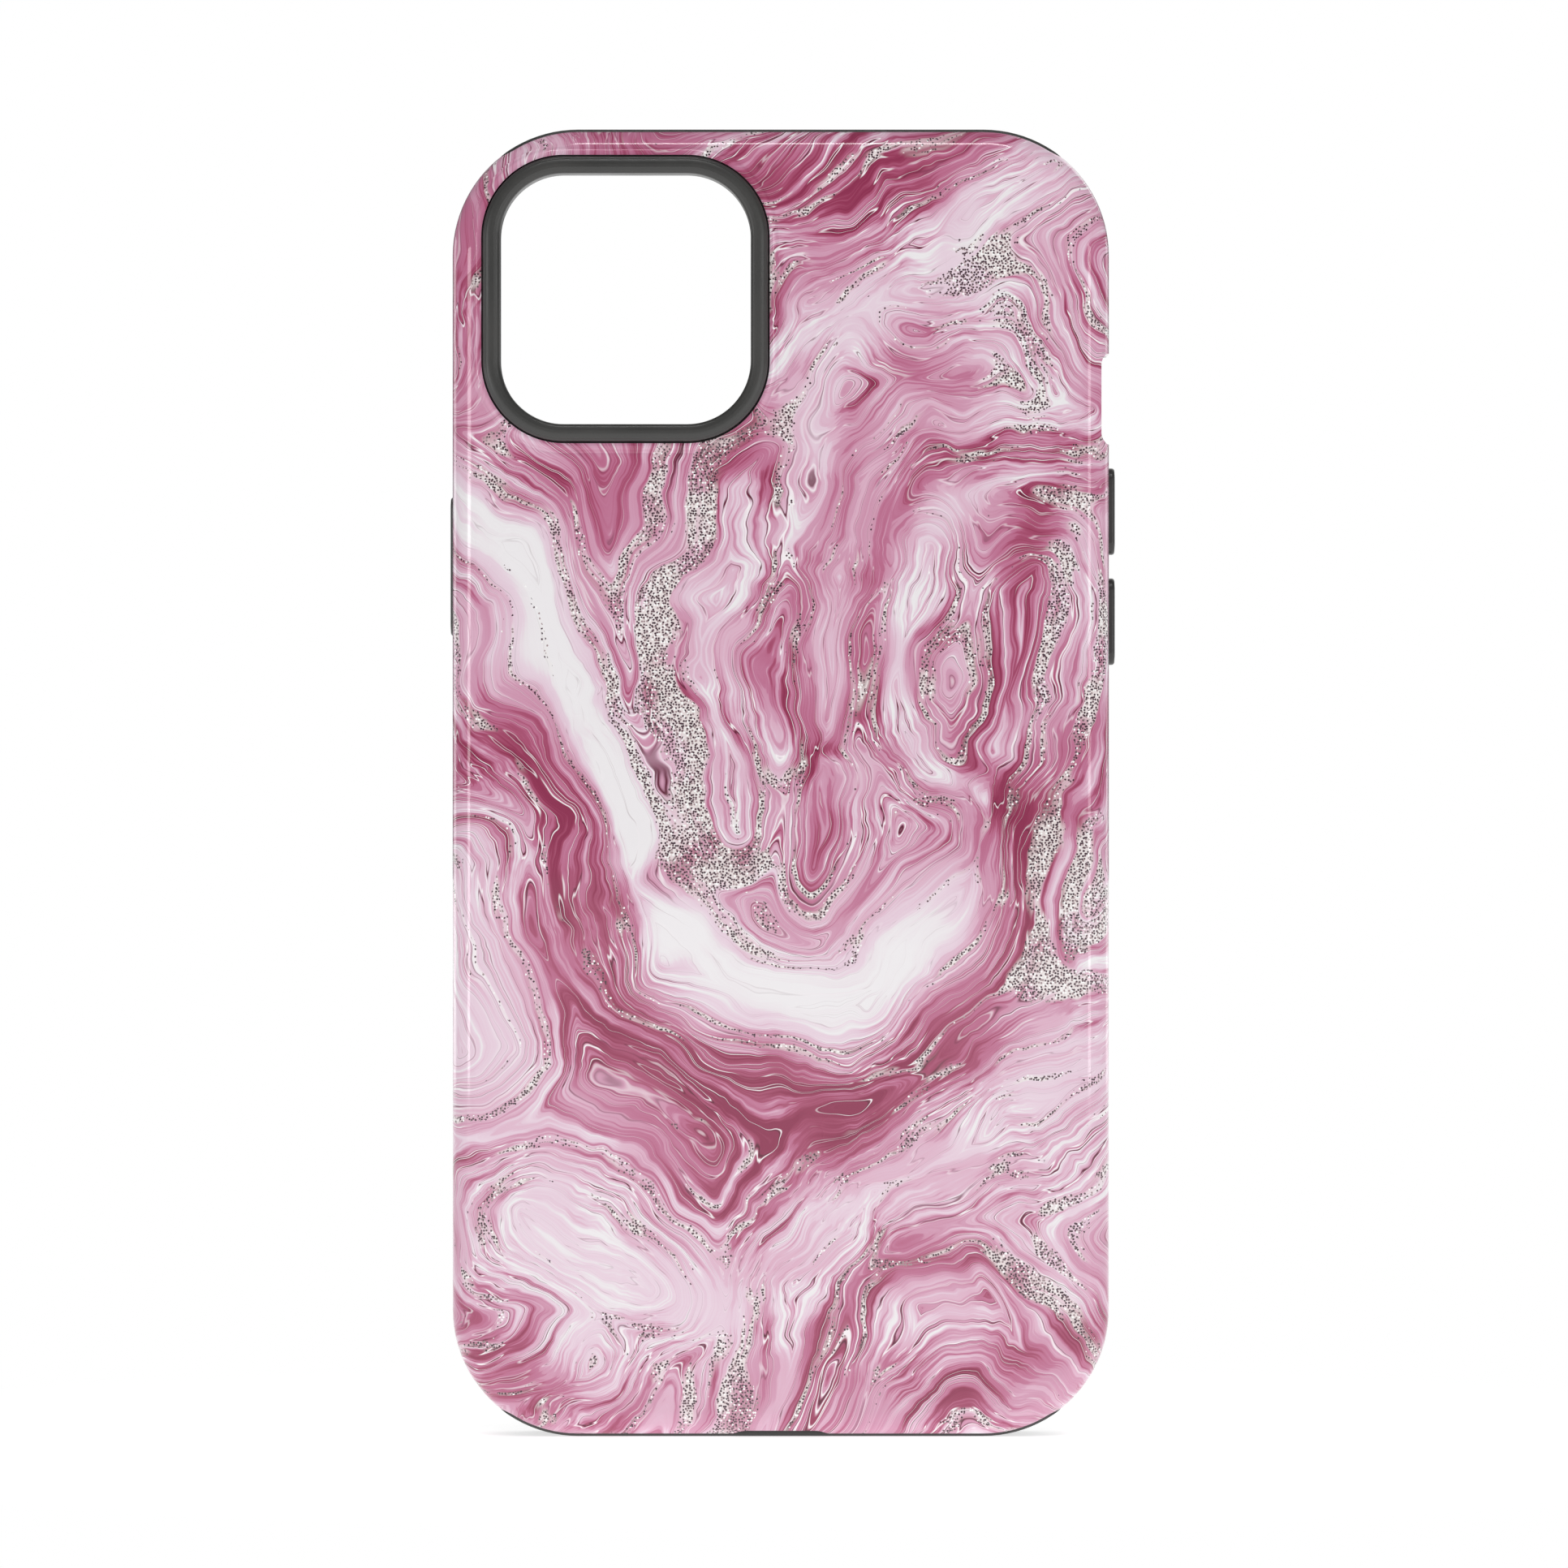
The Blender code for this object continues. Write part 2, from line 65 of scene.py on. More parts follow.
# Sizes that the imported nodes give.
SHELL_HIGH = Vector(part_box("outer_shell")[1])
LINER_LOW, LINER_HIGH = (Vector(corner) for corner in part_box("inner_liner"))
HALF_WIDTH = SHELL_HIGH.x
SHELL_FRONT = SHELL_HIGH.y
GUARD_HEIGHT = -LINER_LOW.y
LIP_FRONT = LINER_HIGH.y

# The case's outline, as in the CAD model.
HALF_HEIGHT = 76.38 * MM
CORNER_RADIUS = 14.7 * MM
BACK_EDGE_RADIUS = 3.0 * MM

# Layers, counted from the outer back face, and how far in from the outline they start. MIDDLE is
# the depth that the buttons and the openings in the walls are centred on.
SHELL_BACK = 1.2 * MM
SHELL_WALL = 1.3 * MM
SHELL_RIM_RADIUS = 0.25 * MM
CAVITY_EDGE_RADIUS = 1.9 * MM
LAYER_GAP = 0.05 * MM
LINER_INSET = SHELL_WALL + LAYER_GAP
POCKET_INSET = 2.48 * MM
POCKET_FLOOR = 2.55 * MM
POCKET_FLOOR_RADIUS = 0.8 * MM
POCKET_CEILING = 10.45 * MM
POCKET_CEILING_RADIUS = 0.5 * MM
LIP_REAR = 9.7 * MM
LIP_REAR_RADIUS = 0.2 * MM
LIP_EDGE_RADIUS = 0.9 * MM
LIP_OPENING_INSET = 3.88 * MM
LIP_OPENING_RADIUS = 0.45 * MM
MIDDLE = 6.45 * MM

# The shell's open ends, and the liner's bumpers that fill them.
END_OPENING_HALF_WIDTH = 33.1 * MM
END_OPENING_START = 1.6 * MM
END_OPENING_DEPTH = 30 * MM
END_OPENING_BASE = 60 * MM
END_OPENING_RADIUS = 2.0 * MM
BUMPER_GAP = 0.1 * MM
BUMPER_INSET = 0.03 * MM
BUMPER_EDGE_RADIUS = 0.35 * MM

# The camera guard with the hole through it, and the shell's window and collar round it. The guard's
# outer rim starts to round over at a share of its crown's height.
CAMERA_CENTRE = (-18.1 * MM, 56.4 * MM)
GUARD_SIZE = 33.2 * MM
GUARD_RADIUS = 9.4 * MM
GUARD_CROWN = 0.34 * MM
GUARD_FILLET = 0.34 * MM
GUARD_SHOULDER_SHARE = 0.72
GUARD_ROOT = 2.5 * MM
GUARD_STEPS = 10
CAMERA_HOLE_SIZE = 29.2 * MM
CAMERA_HOLE_RADIUS = 7.4 * MM
CAMERA_MOUTH_RADIUS = 0.55 * MM
CAMERA_MOUTH_START = 0.06 * MM
CAMERA_MOUTH_LIP = 0.75 * MM
CAMERA_MOUTH_LIP_DEPTH = 0.02 * MM
WINDOW_SIZE = 33.64 * MM
WINDOW_RADIUS = 9.62 * MM

# The collar's slope from its rim down into the shell: height over the back face and growth, in mm.
COLLAR_PROFILE = [
    (0.60, 0.25),
    (0.58, 0.48),
    (0.50, 0.66),
    (0.36, 0.80),
    (0.20, 0.90),
    (0.08, 1.02),
    (-0.02, 1.20),
    (-0.60, 1.20),
]

# Button covers: each body's node, and the side of the case that it is on.
BUTTONS = {
    "power_button": ("power_button_cover", LEFT),
    "volume_up_button": ("volume_up_cover", RIGHT),
    "volume_down_button": ("volume_down_cover", RIGHT),
}
BUTTON_WIDTH = 3.4 * MM
BUTTON_RIM_RADIUS = 0.32 * MM
BUTTON_CROWN = 0.04 * MM
BUTTON_CROWN_INSET = 0.9 * MM
BUTTON_ROOT_DEPTH = 0.3 * MM
BUTTON_SLOT_GAP = 0.15 * MM
BUTTON_SLOT_FILLET = 0.2 * MM
FLANGE_OVERHANG = 0.68 * MM
FLANGE_THICKNESS = 0.63 * MM
FLANGE_RIM_RADIUS = 0.1 * MM
FLANGE_WINDOW_OVERHANG = 0.80 * MM

# The mute switch's notch in the shell and its window in the liner.
MUTE_CENTRE = 44.86 * MM
MUTE_LENGTH = 10.6 * MM
MUTE_NOTCH_START = 0.83 * MM
MUTE_NOTCH_DEPTH = 30 * MM
MUTE_NOTCH_RADIUS = 1.3 * MM
MUTE_SETBACK = 1.0 * MM
MUTE_SETBACK_RADIUS = 0.6 * MM
MUTE_WINDOW_LENGTH = 8.2 * MM
MUTE_WINDOW_WIDTH = 4.8 * MM
MUTE_WINDOW_FILLET = 0.4 * MM

# The bottom end's openings: centre, length, width and fillet of each slot.
PORT_SCOOP_WIDTH = 12.9 * MM
PORT_SCOOP_START = 1.07 * MM
PORT_SCOOP_DEPTH = 10 * MM
PORT_SCOOP_RADIUS = 2.5 * MM
BOTTOM_SLOTS = {
    "port": (0, 12.2 * MM, 6.0 * MM, 0.5 * MM),
    "speaker_-1": (-18.6 * MM, 9.6 * MM, 2.6 * MM, 0.35 * MM),
    "speaker_1": (18.6 * MM, 9.6 * MM, 2.6 * MM, 0.35 * MM),
}

# Upright grooves in the pocket's corners.
GROOVE_ANGLES = (22, 45, 68)
GROOVE_WIDTH = 1.2 * MM
GROOVE_START = 1.2 * MM
GROOVE_END = 0.4 * MM
GROOVE_ROUND = 0.3 * MM

# The line moulded in the pocket floor round the magnets.
WITNESS_RADIUS = 28.4 * MM
WITNESS_HALF_WIDTH = 0.25 * MM
WITNESS_DEPTH = 0.15 * MM
WITNESS_STEPS = 128

# A slot's corner radius as a share of its width: a half-round end, or softer ones.
ROUND_END = 0.49
BUTTON_END = 0.42
FLANGE_END = 0.3

# How far in from the outline cutters reach, for wall windows, slots and notches, and how far they
# run out past the case.
WALL_DEPTH = 5.0 * MM
SLOT_DEPTH = 4.0 * MM
NOTCH_DEPTH = 2.6 * MM
BEYOND = 8.0 * MM

# Points in each corner of a stacked outline, by size, and levels in each rounded rim.
CORNER_STEPS = 24
HEAD_STEPS = 14
SLOT_STEPS = 12
NOTCH_STEPS = 10
WINDOW_STEPS = 8
GROOVE_STEPS = 6
ROUND_STEPS = 8
LEAST_RADIUS = 0.02 * MM

# Finishing: points nearer than this become one, and edges steeper than this stay sharp.
MERGE_DISTANCE = 0.002 * MM
SHARP_ANGLE = math.radians(35)
FLAT_FACE_WEIGHT = 80


# ---------------------------------------------------------------- shapes


def rounded_outline(half_a, half_b, radius, steps):
    """The points of a rounded rectangle about the origin, counter-clockwise."""
    radius = min(radius, half_a, half_b)
    points = []
    for quarter, (sign_a, sign_b) in enumerate(((1, 1), (-1, 1), (-1, -1), (1, -1))):
        for step in range(steps + 1):
            angle = math.pi / 2 * (quarter + step / steps)
            points.append(
                (
                    sign_a * (half_a - radius) + radius * math.cos(angle),
                    sign_b * (half_b - radius) + radius * math.sin(angle),
                )
            )
    return points


def solid_object(name, bm):
    """An object made from a closed bmesh, which is freed."""
    bmesh.ops.recalc_face_normals(bm, faces=bm.faces)
    mesh = bpy.data.meshes.new(name)
    bm.to_mesh(mesh)
    bm.free()
    obj = bpy.data.objects.new(name, mesh)
    bpy.context.scene.collection.objects.link(obj)
    return obj


def stack(name, axis, centre, size, radius, levels, steps=CORNER_STEPS):
    """A closed solid of rounded rectangles stacked along an axis.

    centre and size are in the two other axes, in X, Y, Z order. levels holds (position, growth)
    pairs from the lowest up: growth is how far the outline stands outside the given size there.
    """
    across = [i for i in (X, Y, Z) if i != axis]
    bm = bmesh.new()
    rings = []
    for position, growth in levels:
        half_a, half_b = size[0] / 2 + growth, size[1] / 2 + growth
        ring = []
        for a, b in rounded_outline(half_a, half_b, max(radius + growth, LEAST_RADIUS), steps):
            co = Vector((0, 0, 0))
            co[axis] = position
            co[across[0]] = centre[0] + a
            co[across[1]] = centre[1] + b
            ring.append(bm.verts.new(co))
        rings.append(ring)
    count = len(rings[0])
    for low, high in zip(rings, rings[1:]):
        for i in range(count):
            j = (i + 1) % count
            bm.faces.new((low[i], low[j], high[j], high[i]))
    bm.faces.new(rings[0])
    bm.faces.new(rings[-1])
    return solid_object(name, bm)


def arc_levels(position, radius, towards, growing):
    """Levels of a quarter-round rim whose tip is at a position.

    towards is +1 if the solid's end lies at the high side, and growing is -1 for a rounded rim or
    +1 for a flared mouth.
    """
    levels = []
    for step in range(ROUND_STEPS + 1):
        angle = math.pi / 2 * step / ROUND_STEPS
        inward = radius * (1 - math.sin(angle))
        levels.append((position - towards * inward, growing * radius * (1 - math.cos(angle))))
    return levels if towards > 0 else levels[::-1]


def slab_levels(low, high, low_round=0.0, high_round=0.0):
    """Levels of a slab, with a rounded rim at each end that is given a radius."""
    start, end = [(low, 0.0)], [(high, 0.0)]
    if low_round:
        start = arc_levels(low, low_round, -1, -1)
    if high_round:
        end = arc_levels(high, high_round, 1, -1)
    return start + end


def case_stack(name, inset, levels):
    """A stack with the case's own outline, drawn in by an inset."""
    size = (2 * (HALF_WIDTH - inset), 2 * (HALF_HEIGHT - inset))
    return stack(name, Y, (0, 0), size, CORNER_RADIUS - inset, levels)


def camera_stack(name, size, radius, levels):
    """A square stack about the middle of the camera window."""
    return stack(name, Y, CAMERA_CENTRE, (size, size), radius, levels)


def combine(obj, operation, *others):
    """Joins, cuts or crosses obj with others, for good, and deletes them."""
    for other in others:
        modifier = obj.modifiers.new(other.name, "BOOLEAN")
        modifier.operation = operation
        modifier.solver = "EXACT"
        modifier.object = other
    apply_modifiers(obj)
    for other in others:
        bpy.data.objects.remove(other)
    return obj


def apply_modifiers(obj):
    """Turns an object's modifiers into plain mesh."""
    depsgraph = bpy.context.evaluated_depsgraph_get()
    mesh = bpy.data.meshes.new_from_object(obj.evaluated_get(depsgraph))
    obj.modifiers.clear()
    obj.data = mesh


def finish_surface(obj):
    """Smooth shading that stays flat on flat faces and sharp on sharp edges."""
    bm = bmesh.new()
    bm.from_mesh(obj.data)
    bmesh.ops.remove_doubles(bm, verts=bm.verts, dist=MERGE_DISTANCE)
    bm.to_mesh(obj.data)
    bm.free()
    obj.data.shade_smooth()
    obj.data.set_sharp_from_angle(angle=SHARP_ANGLE)
    weighted = obj.modifiers.new("flat faces stay flat", "WEIGHTED_NORMAL")
    weighted.keep_sharp = True
    weighted.weight = FLAT_FACE_WEIGHT


def place(obj, body, slot, material, *nodes):
    """Gives a piece its material and body, and hides the CAD nodes that it stands for."""
    obj.data.materials.clear()
    obj.data.materials.append(material)
    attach(obj, body)
    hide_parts(*nodes)


# ---------------------------------------------------------------- the shell


def end_opening(name, end, margin):
    """The space that an end wall would take up, less a margin all round."""
    size = (2 * (END_OPENING_HALF_WIDTH - margin), END_OPENING_DEPTH)
    centre = (0, END_OPENING_START + margin + size[1] / 2)
    near, far = sorted((end * END_OPENING_BASE, end * (HALF_HEIGHT + BEYOND)))
    return stack(name, Z, centre, size, END_OPENING_RADIUS, [(near, 0), (far, 0)], NOTCH_STEPS)


def button_head(node):
    """A button cover's head: z of its centre, its length, and how far from the middle it reaches."""
    low, high = (Vector(corner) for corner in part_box(node))
    reach = max(abs(low.x), abs(high.x))
    return (low.z + high.z) / 2, high.z - low.z - 2 * FLANGE_OVERHANG, reach


def on_side(side, levels):
    """Levels along X, given for the right-hand side, on either side of the case."""
    if side == RIGHT:
        return levels
    return [(-position, growth) for position, growth in reversed(levels)]


def make_collar():
    """The low slope that rises round the camera window."""
    levels = [(-height * MM, growth * MM) for height, growth in COLLAR_PROFILE]
    return camera_stack("collar", WINDOW_SIZE, WINDOW_RADIUS, levels)


def shell_cavity():
    """The space inside the shell, flared a little at the front rim."""
    flare = SHELL_RIM_RADIUS / 2
    levels = arc_levels(SHELL_BACK, CAVITY_EDGE_RADIUS, -1, -1)
    levels += [(SHELL_FRONT - SHELL_RIM_RADIUS, 0.0), (SHELL_FRONT, flare)]
    levels.append((SHELL_FRONT + BEYOND, flare))
    return case_stack("cavity", SHELL_WALL, levels)


def port_scoop():
    """The shallow dip in the shell's bottom edge, in front of the charging port."""
    centre = (0, PORT_SCOOP_START + PORT_SCOOP_DEPTH / 2)
    size = (PORT_SCOOP_WIDTH, PORT_SCOOP_DEPTH)
    levels = [(-HALF_HEIGHT - BEYOND, 0), (-HALF_HEIGHT + NOTCH_DEPTH, 0)]
    return stack("port_scoop", Z, centre, size, PORT_SCOOP_RADIUS, levels)


def mute_notch():
    """The notch in the right-hand wall, open to the front, that leaves room for a finger."""
    centre = (MUTE_NOTCH_START + MUTE_NOTCH_DEPTH / 2, MUTE_CENTRE)
    size = (MUTE_NOTCH_DEPTH, MUTE_LENGTH)
    levels = [(HALF_WIDTH - NOTCH_DEPTH, 0), (HALF_WIDTH + BEYOND, 0)]
    return stack("mute_notch", X, centre, size, MUTE_NOTCH_RADIUS, levels, NOTCH_STEPS)


def button_slot(body, node, side):
    """The slot for a button cover's head, its mouth rounded over at the outer face."""
    z_middle, length, _ = button_head(node)
    width = BUTTON_WIDTH + 2 * BUTTON_SLOT_GAP
    size = (width, length + 2 * BUTTON_SLOT_GAP)
    levels = [(HALF_WIDTH - SLOT_DEPTH, 0.0)] + arc_levels(HALF_WIDTH, BUTTON_SLOT_FILLET, 1, 1)
    levels.append((HALF_WIDTH + BEYOND, BUTTON_SLOT_FILLET))
    levels = on_side(side, levels)
    radius = width * BUTTON_END
    return stack(f"{body}_slot", X, (MIDDLE, z_middle), size, radius, levels, SLOT_STEPS)


def make_shell(material):
    """The hard shell: flat back, rounded edge, side walls, and a collar round the camera window."""
    levels = slab_levels(0, SHELL_FRONT, BACK_EDGE_RADIUS, SHELL_RIM_RADIUS)
    shell = case_stack("printed_shell", 0, levels)
    combine(shell, "UNION", make_collar())
    window = camera_stack("window", WINDOW_SIZE, WINDOW_RADIUS, [(-BEYOND, 0), (BEYOND, 0)])
    cutters = [shell_cavity(), window, port_scoop(), mute_notch()]
    cutters += [end_opening(f"opening_{end}", end, 0) for end in (-1, 1)]
    cutters += [button_slot(body, node, side) for body, (node, side) in BUTTONS.items()]
    combine(shell, "DIFFERENCE", *cutters)
    finish_surface(shell)
    place(shell, ROOT, "printed_shell", material, "outer_shell")


# ---------------------------------------------------------------- the liner


def make_bumper(end):
    """The liner's block in an open end of the shell."""
    levels = slab_levels(END_OPENING_START + BUMPER_GAP, LIP_REAR + LAYER_GAP, BUMPER_EDGE_RADIUS)
    bumper = case_stack(f"bumper_{end}", BUMPER_INSET, levels)
    return combine(bumper, "INTERSECT", end_opening(f"bumper_space_{end}", end, BUMPER_GAP))


def make_guard():
    """The raised frame round the camera window: a crowned face with a rounded outer rim."""
    top = -GUARD_HEIGHT
    half_face = (GUARD_SIZE - CAMERA_HOLE_SIZE) / 4
    levels = []
    for step in range(GUARD_STEPS + 1):
        inward = half_face * (1 - step / GUARD_STEPS) + GUARD_FILLET * step / GUARD_STEPS
        share = (half_face - inward) / half_face
        levels.append((top + GUARD_CROWN * share**2, -inward))
    levels += arc_levels(top + GUARD_CROWN * GUARD_SHOULDER_SHARE, GUARD_FILLET, -1, -1)[1:]
    levels.append((GUARD_ROOT, 0))
    return camera_stack("guard", GUARD_SIZE, GUARD_RADIUS, levels)


def camera_hole():
    """The hole through the guard, its outer mouth rounded over."""
    top = -GUARD_HEIGHT
    levels = [(top - BEYOND, CAMERA_MOUTH_LIP), (top + CAMERA_MOUTH_LIP_DEPTH, CAMERA_MOUTH_LIP)]
    levels += arc_levels(top + CAMERA_MOUTH_START, CAMERA_MOUTH_RADIUS, -1, 1)
    levels.append((POCKET_FLOOR + MM, 0.0))
    return camera_stack("camera_hole", CAMERA_HOLE_SIZE, CAMERA_HOLE_RADIUS, levels)


def bottom_slot(name, x_middle, length, width, fillet):
    """A long slot through the bottom end, its outer mouth rounded over."""
    face = -HALF_HEIGHT + BUMPER_INSET
    mouth = arc_levels(face, fillet, -1, 1)
    levels = [(face - BEYOND, fillet)] + mouth + [(-HALF_HEIGHT + SLOT_DEPTH, 0.0)]
    radius = width * ROUND_END
    return stack(name, Z, (x_middle, MIDDLE), (length, width), radius, levels, SLOT_STEPS)


def cushion_grooves():
    """Upright grooves in the pocket's corners."""
    grooves = []
    arc_radius = CORNER_RADIUS - POCKET_INSET
    low, high = POCKET_FLOOR + GROOVE_START, POCKET_CEILING - GROOVE_END
    levels = slab_levels(low, high, GROOVE_ROUND, GROOVE_ROUND)
    size = (GROOVE_WIDTH, GROOVE_WIDTH)
    for side in (LEFT, RIGHT):
        for end in (-1, 1):
            for degrees in GROOVE_ANGLES:
                angle = math.radians(degrees)
                x = side * (HALF_WIDTH - CORNER_RADIUS + arc_radius * math.cos(angle))
                z = end * (HALF_HEIGHT - CORNER_RADIUS + arc_radius * math.sin(angle))
                name = f"groove_{len(grooves)}"
                grooves.append(stack(name, Y, (x, z), size, GROOVE_WIDTH / 2, levels, GROOVE_STEPS))
    return grooves


def flange_window(body, node, side):
    """The window in the liner's wall that a button cover's flange sits in."""
    z_middle, length, _ = button_head(node)
    width = BUTTON_WIDTH + 2 * FLANGE_WINDOW_OVERHANG
    size = (width, length + 2 * FLANGE_WINDOW_OVERHANG)
    levels = on_side(side, [(HALF_WIDTH - WALL_DEPTH, 0), (HALF_WIDTH + BEYOND, 0)])
    radius = width * FLANGE_END
    return stack(f"{body}_window", X, (MIDDLE, z_middle), size, radius, levels, WINDOW_STEPS)


def make_lip():
    """The frame of soft material that stands proud round the screen."""
    levels = slab_levels(LIP_REAR, LIP_FRONT, LIP_REAR_RADIUS, LIP_EDGE_RADIUS)
    return case_stack("lip", LAYER_GAP, levels)


def phone_pocket():
    """The space that the phone takes up."""
    levels = slab_levels(POCKET_FLOOR, POCKET_CEILING, POCKET_FLOOR_RADIUS, POCKET_CEILING_RADIUS)
    return case_stack("pocket", POCKET_INSET, levels)


def screen_opening():
    """The hole inside the lip, its front edge rounded over."""
    levels = [(POCKET_CEILING - MM, 0.0)] + arc_levels(LIP_FRONT, LIP_OPENING_RADIUS, 1, 1)
    levels.append((LIP_FRONT + BEYOND, LIP_OPENING_RADIUS))
    return case_stack("screen_opening", LIP_OPENING_INSET, levels)


def mute_setback():
    """The step in the lip beside the mute switch."""
    centre = (HALF_WIDTH - MUTE_SETBACK + BEYOND / 2, MUTE_CENTRE)
    levels = [(SHELL_FRONT - MM, 0), (LIP_FRONT + BEYOND, 0)]
    size = (BEYOND, MUTE_LENGTH)
    return stack("mute_setback", Y, centre, size, MUTE_SETBACK_RADIUS, levels, WINDOW_STEPS)


def mute_window():
    """The slot through the liner's wall at the mute switch, its mouth rounded over."""
    face = HALF_WIDTH - LINER_INSET
    levels = [(HALF_WIDTH - WALL_DEPTH, 0.0)] + arc_levels(face, MUTE_WINDOW_FILLET, 1, 1)
    levels.append((HALF_WIDTH + BEYOND, MUTE_WINDOW_FILLET))
    size = (MUTE_WINDOW_WIDTH, MUTE_WINDOW_LENGTH)
    radius = MUTE_WINDOW_WIDTH * ROUND_END
    return stack("mute_window", X, (MIDDLE, MUTE_CENTRE), size, radius, levels, SLOT_STEPS)


def make_liner(material):
    """The soft liner: pocket, lip, end bumpers and camera guard."""
    edge_radius = CAVITY_EDGE_RADIUS - LAYER_GAP
    levels = slab_levels(SHELL_BACK + LAYER_GAP, LIP_REAR + LAYER_GAP, edge_radius)
    liner = case_stack("soft_liner", LINER_INSET, levels)
    combine(liner, "UNION", make_lip(), make_bumper(-1), make_bumper(1), make_guard())
    combine(liner, "DIFFERENCE", phone_pocket(), screen_opening(), camera_hole())
    cutters = [mute_setback(), mute_window()]
    cutters += [bottom_slot(name, *sizes) for name, sizes in BOTTOM_SLOTS.items()]
    cutters += [flange_window(body, node, side) for body, (node, side) in BUTTONS.items()]
    cutters += cushion_grooves()
    cutters.append(witness_ring())
    combine(liner, "DIFFERENCE", *cutters)
    finish_surface(liner)
    place(liner, ROOT, "soft_liner", material, "inner_liner")


def witness_ring():
    """The ring-shaped cutter for the line moulded in the pocket floor."""
    section = [
        (-WITNESS_HALF_WIDTH, MM),
        (-WITNESS_HALF_WIDTH, -WITNESS_DEPTH / 2),
        (0, -WITNESS_DEPTH),
        (WITNESS_HALF_WIDTH, -WITNESS_DEPTH / 2),
        (WITNESS_HALF_WIDTH, MM),
    ]
    bm = bmesh.new()
    rings = []
    for i in range(WITNESS_STEPS):
        angle = 2 * math.pi * i / WITNESS_STEPS
        ring = []
        for out, up in section:
            radius = WITNESS_RADIUS + out
            co = (radius * math.cos(angle), POCKET_FLOOR + up, radius * math.sin(angle))
            ring.append(bm.verts.new(co))
        rings.append(ring)
    count = len(section)
    for here, after in zip(rings, rings[1:] + rings[:1]):
        for j in range(count):
            k = (j + 1) % count
            bm.faces.new((here[j], here[k], after[k], after[j]))
    return solid_object("witness_ring", bm)


# ---------------------------------------------------------------- the button covers


def make_button(body, node, side, material):
    """A push cover: a crowned head with rounded rims on a flange behind the shell."""
    z_middle, length, reach = button_head(node)
    centre = (MIDDLE, z_middle)
    outer = HALF_WIDTH - LINER_INSET
    width = BUTTON_WIDTH + 2 * FLANGE_OVERHANG
    size = (width, length + 2 * FLANGE_OVERHANG)
    levels = slab_levels(outer - FLANGE_THICKNESS, outer, FLANGE_RIM_RADIUS, FLANGE_RIM_RADIUS)
    levels = on_side(side, levels)
    cover = stack(f"{node}_soft", X, centre, size, width * FLANGE_END, levels, NOTCH_STEPS)
    levels = [(outer - BUTTON_ROOT_DEPTH, 0.0)]
    levels += arc_levels(reach - BUTTON_CROWN, BUTTON_RIM_RADIUS, 1, -1)
    levels.append((reach, -BUTTON_CROWN_INSET))
    levels = on_side(side, levels)
    size = (BUTTON_WIDTH, length)
    head = stack("head", X, centre, size, BUTTON_WIDTH * BUTTON_END, levels, HEAD_STEPS)
    combine(cover, "UNION", head)
    finish_surface(cover)
    place(cover, body, "soft_liner", material, node)


# ---------------------------------------------------------------- shader helpers


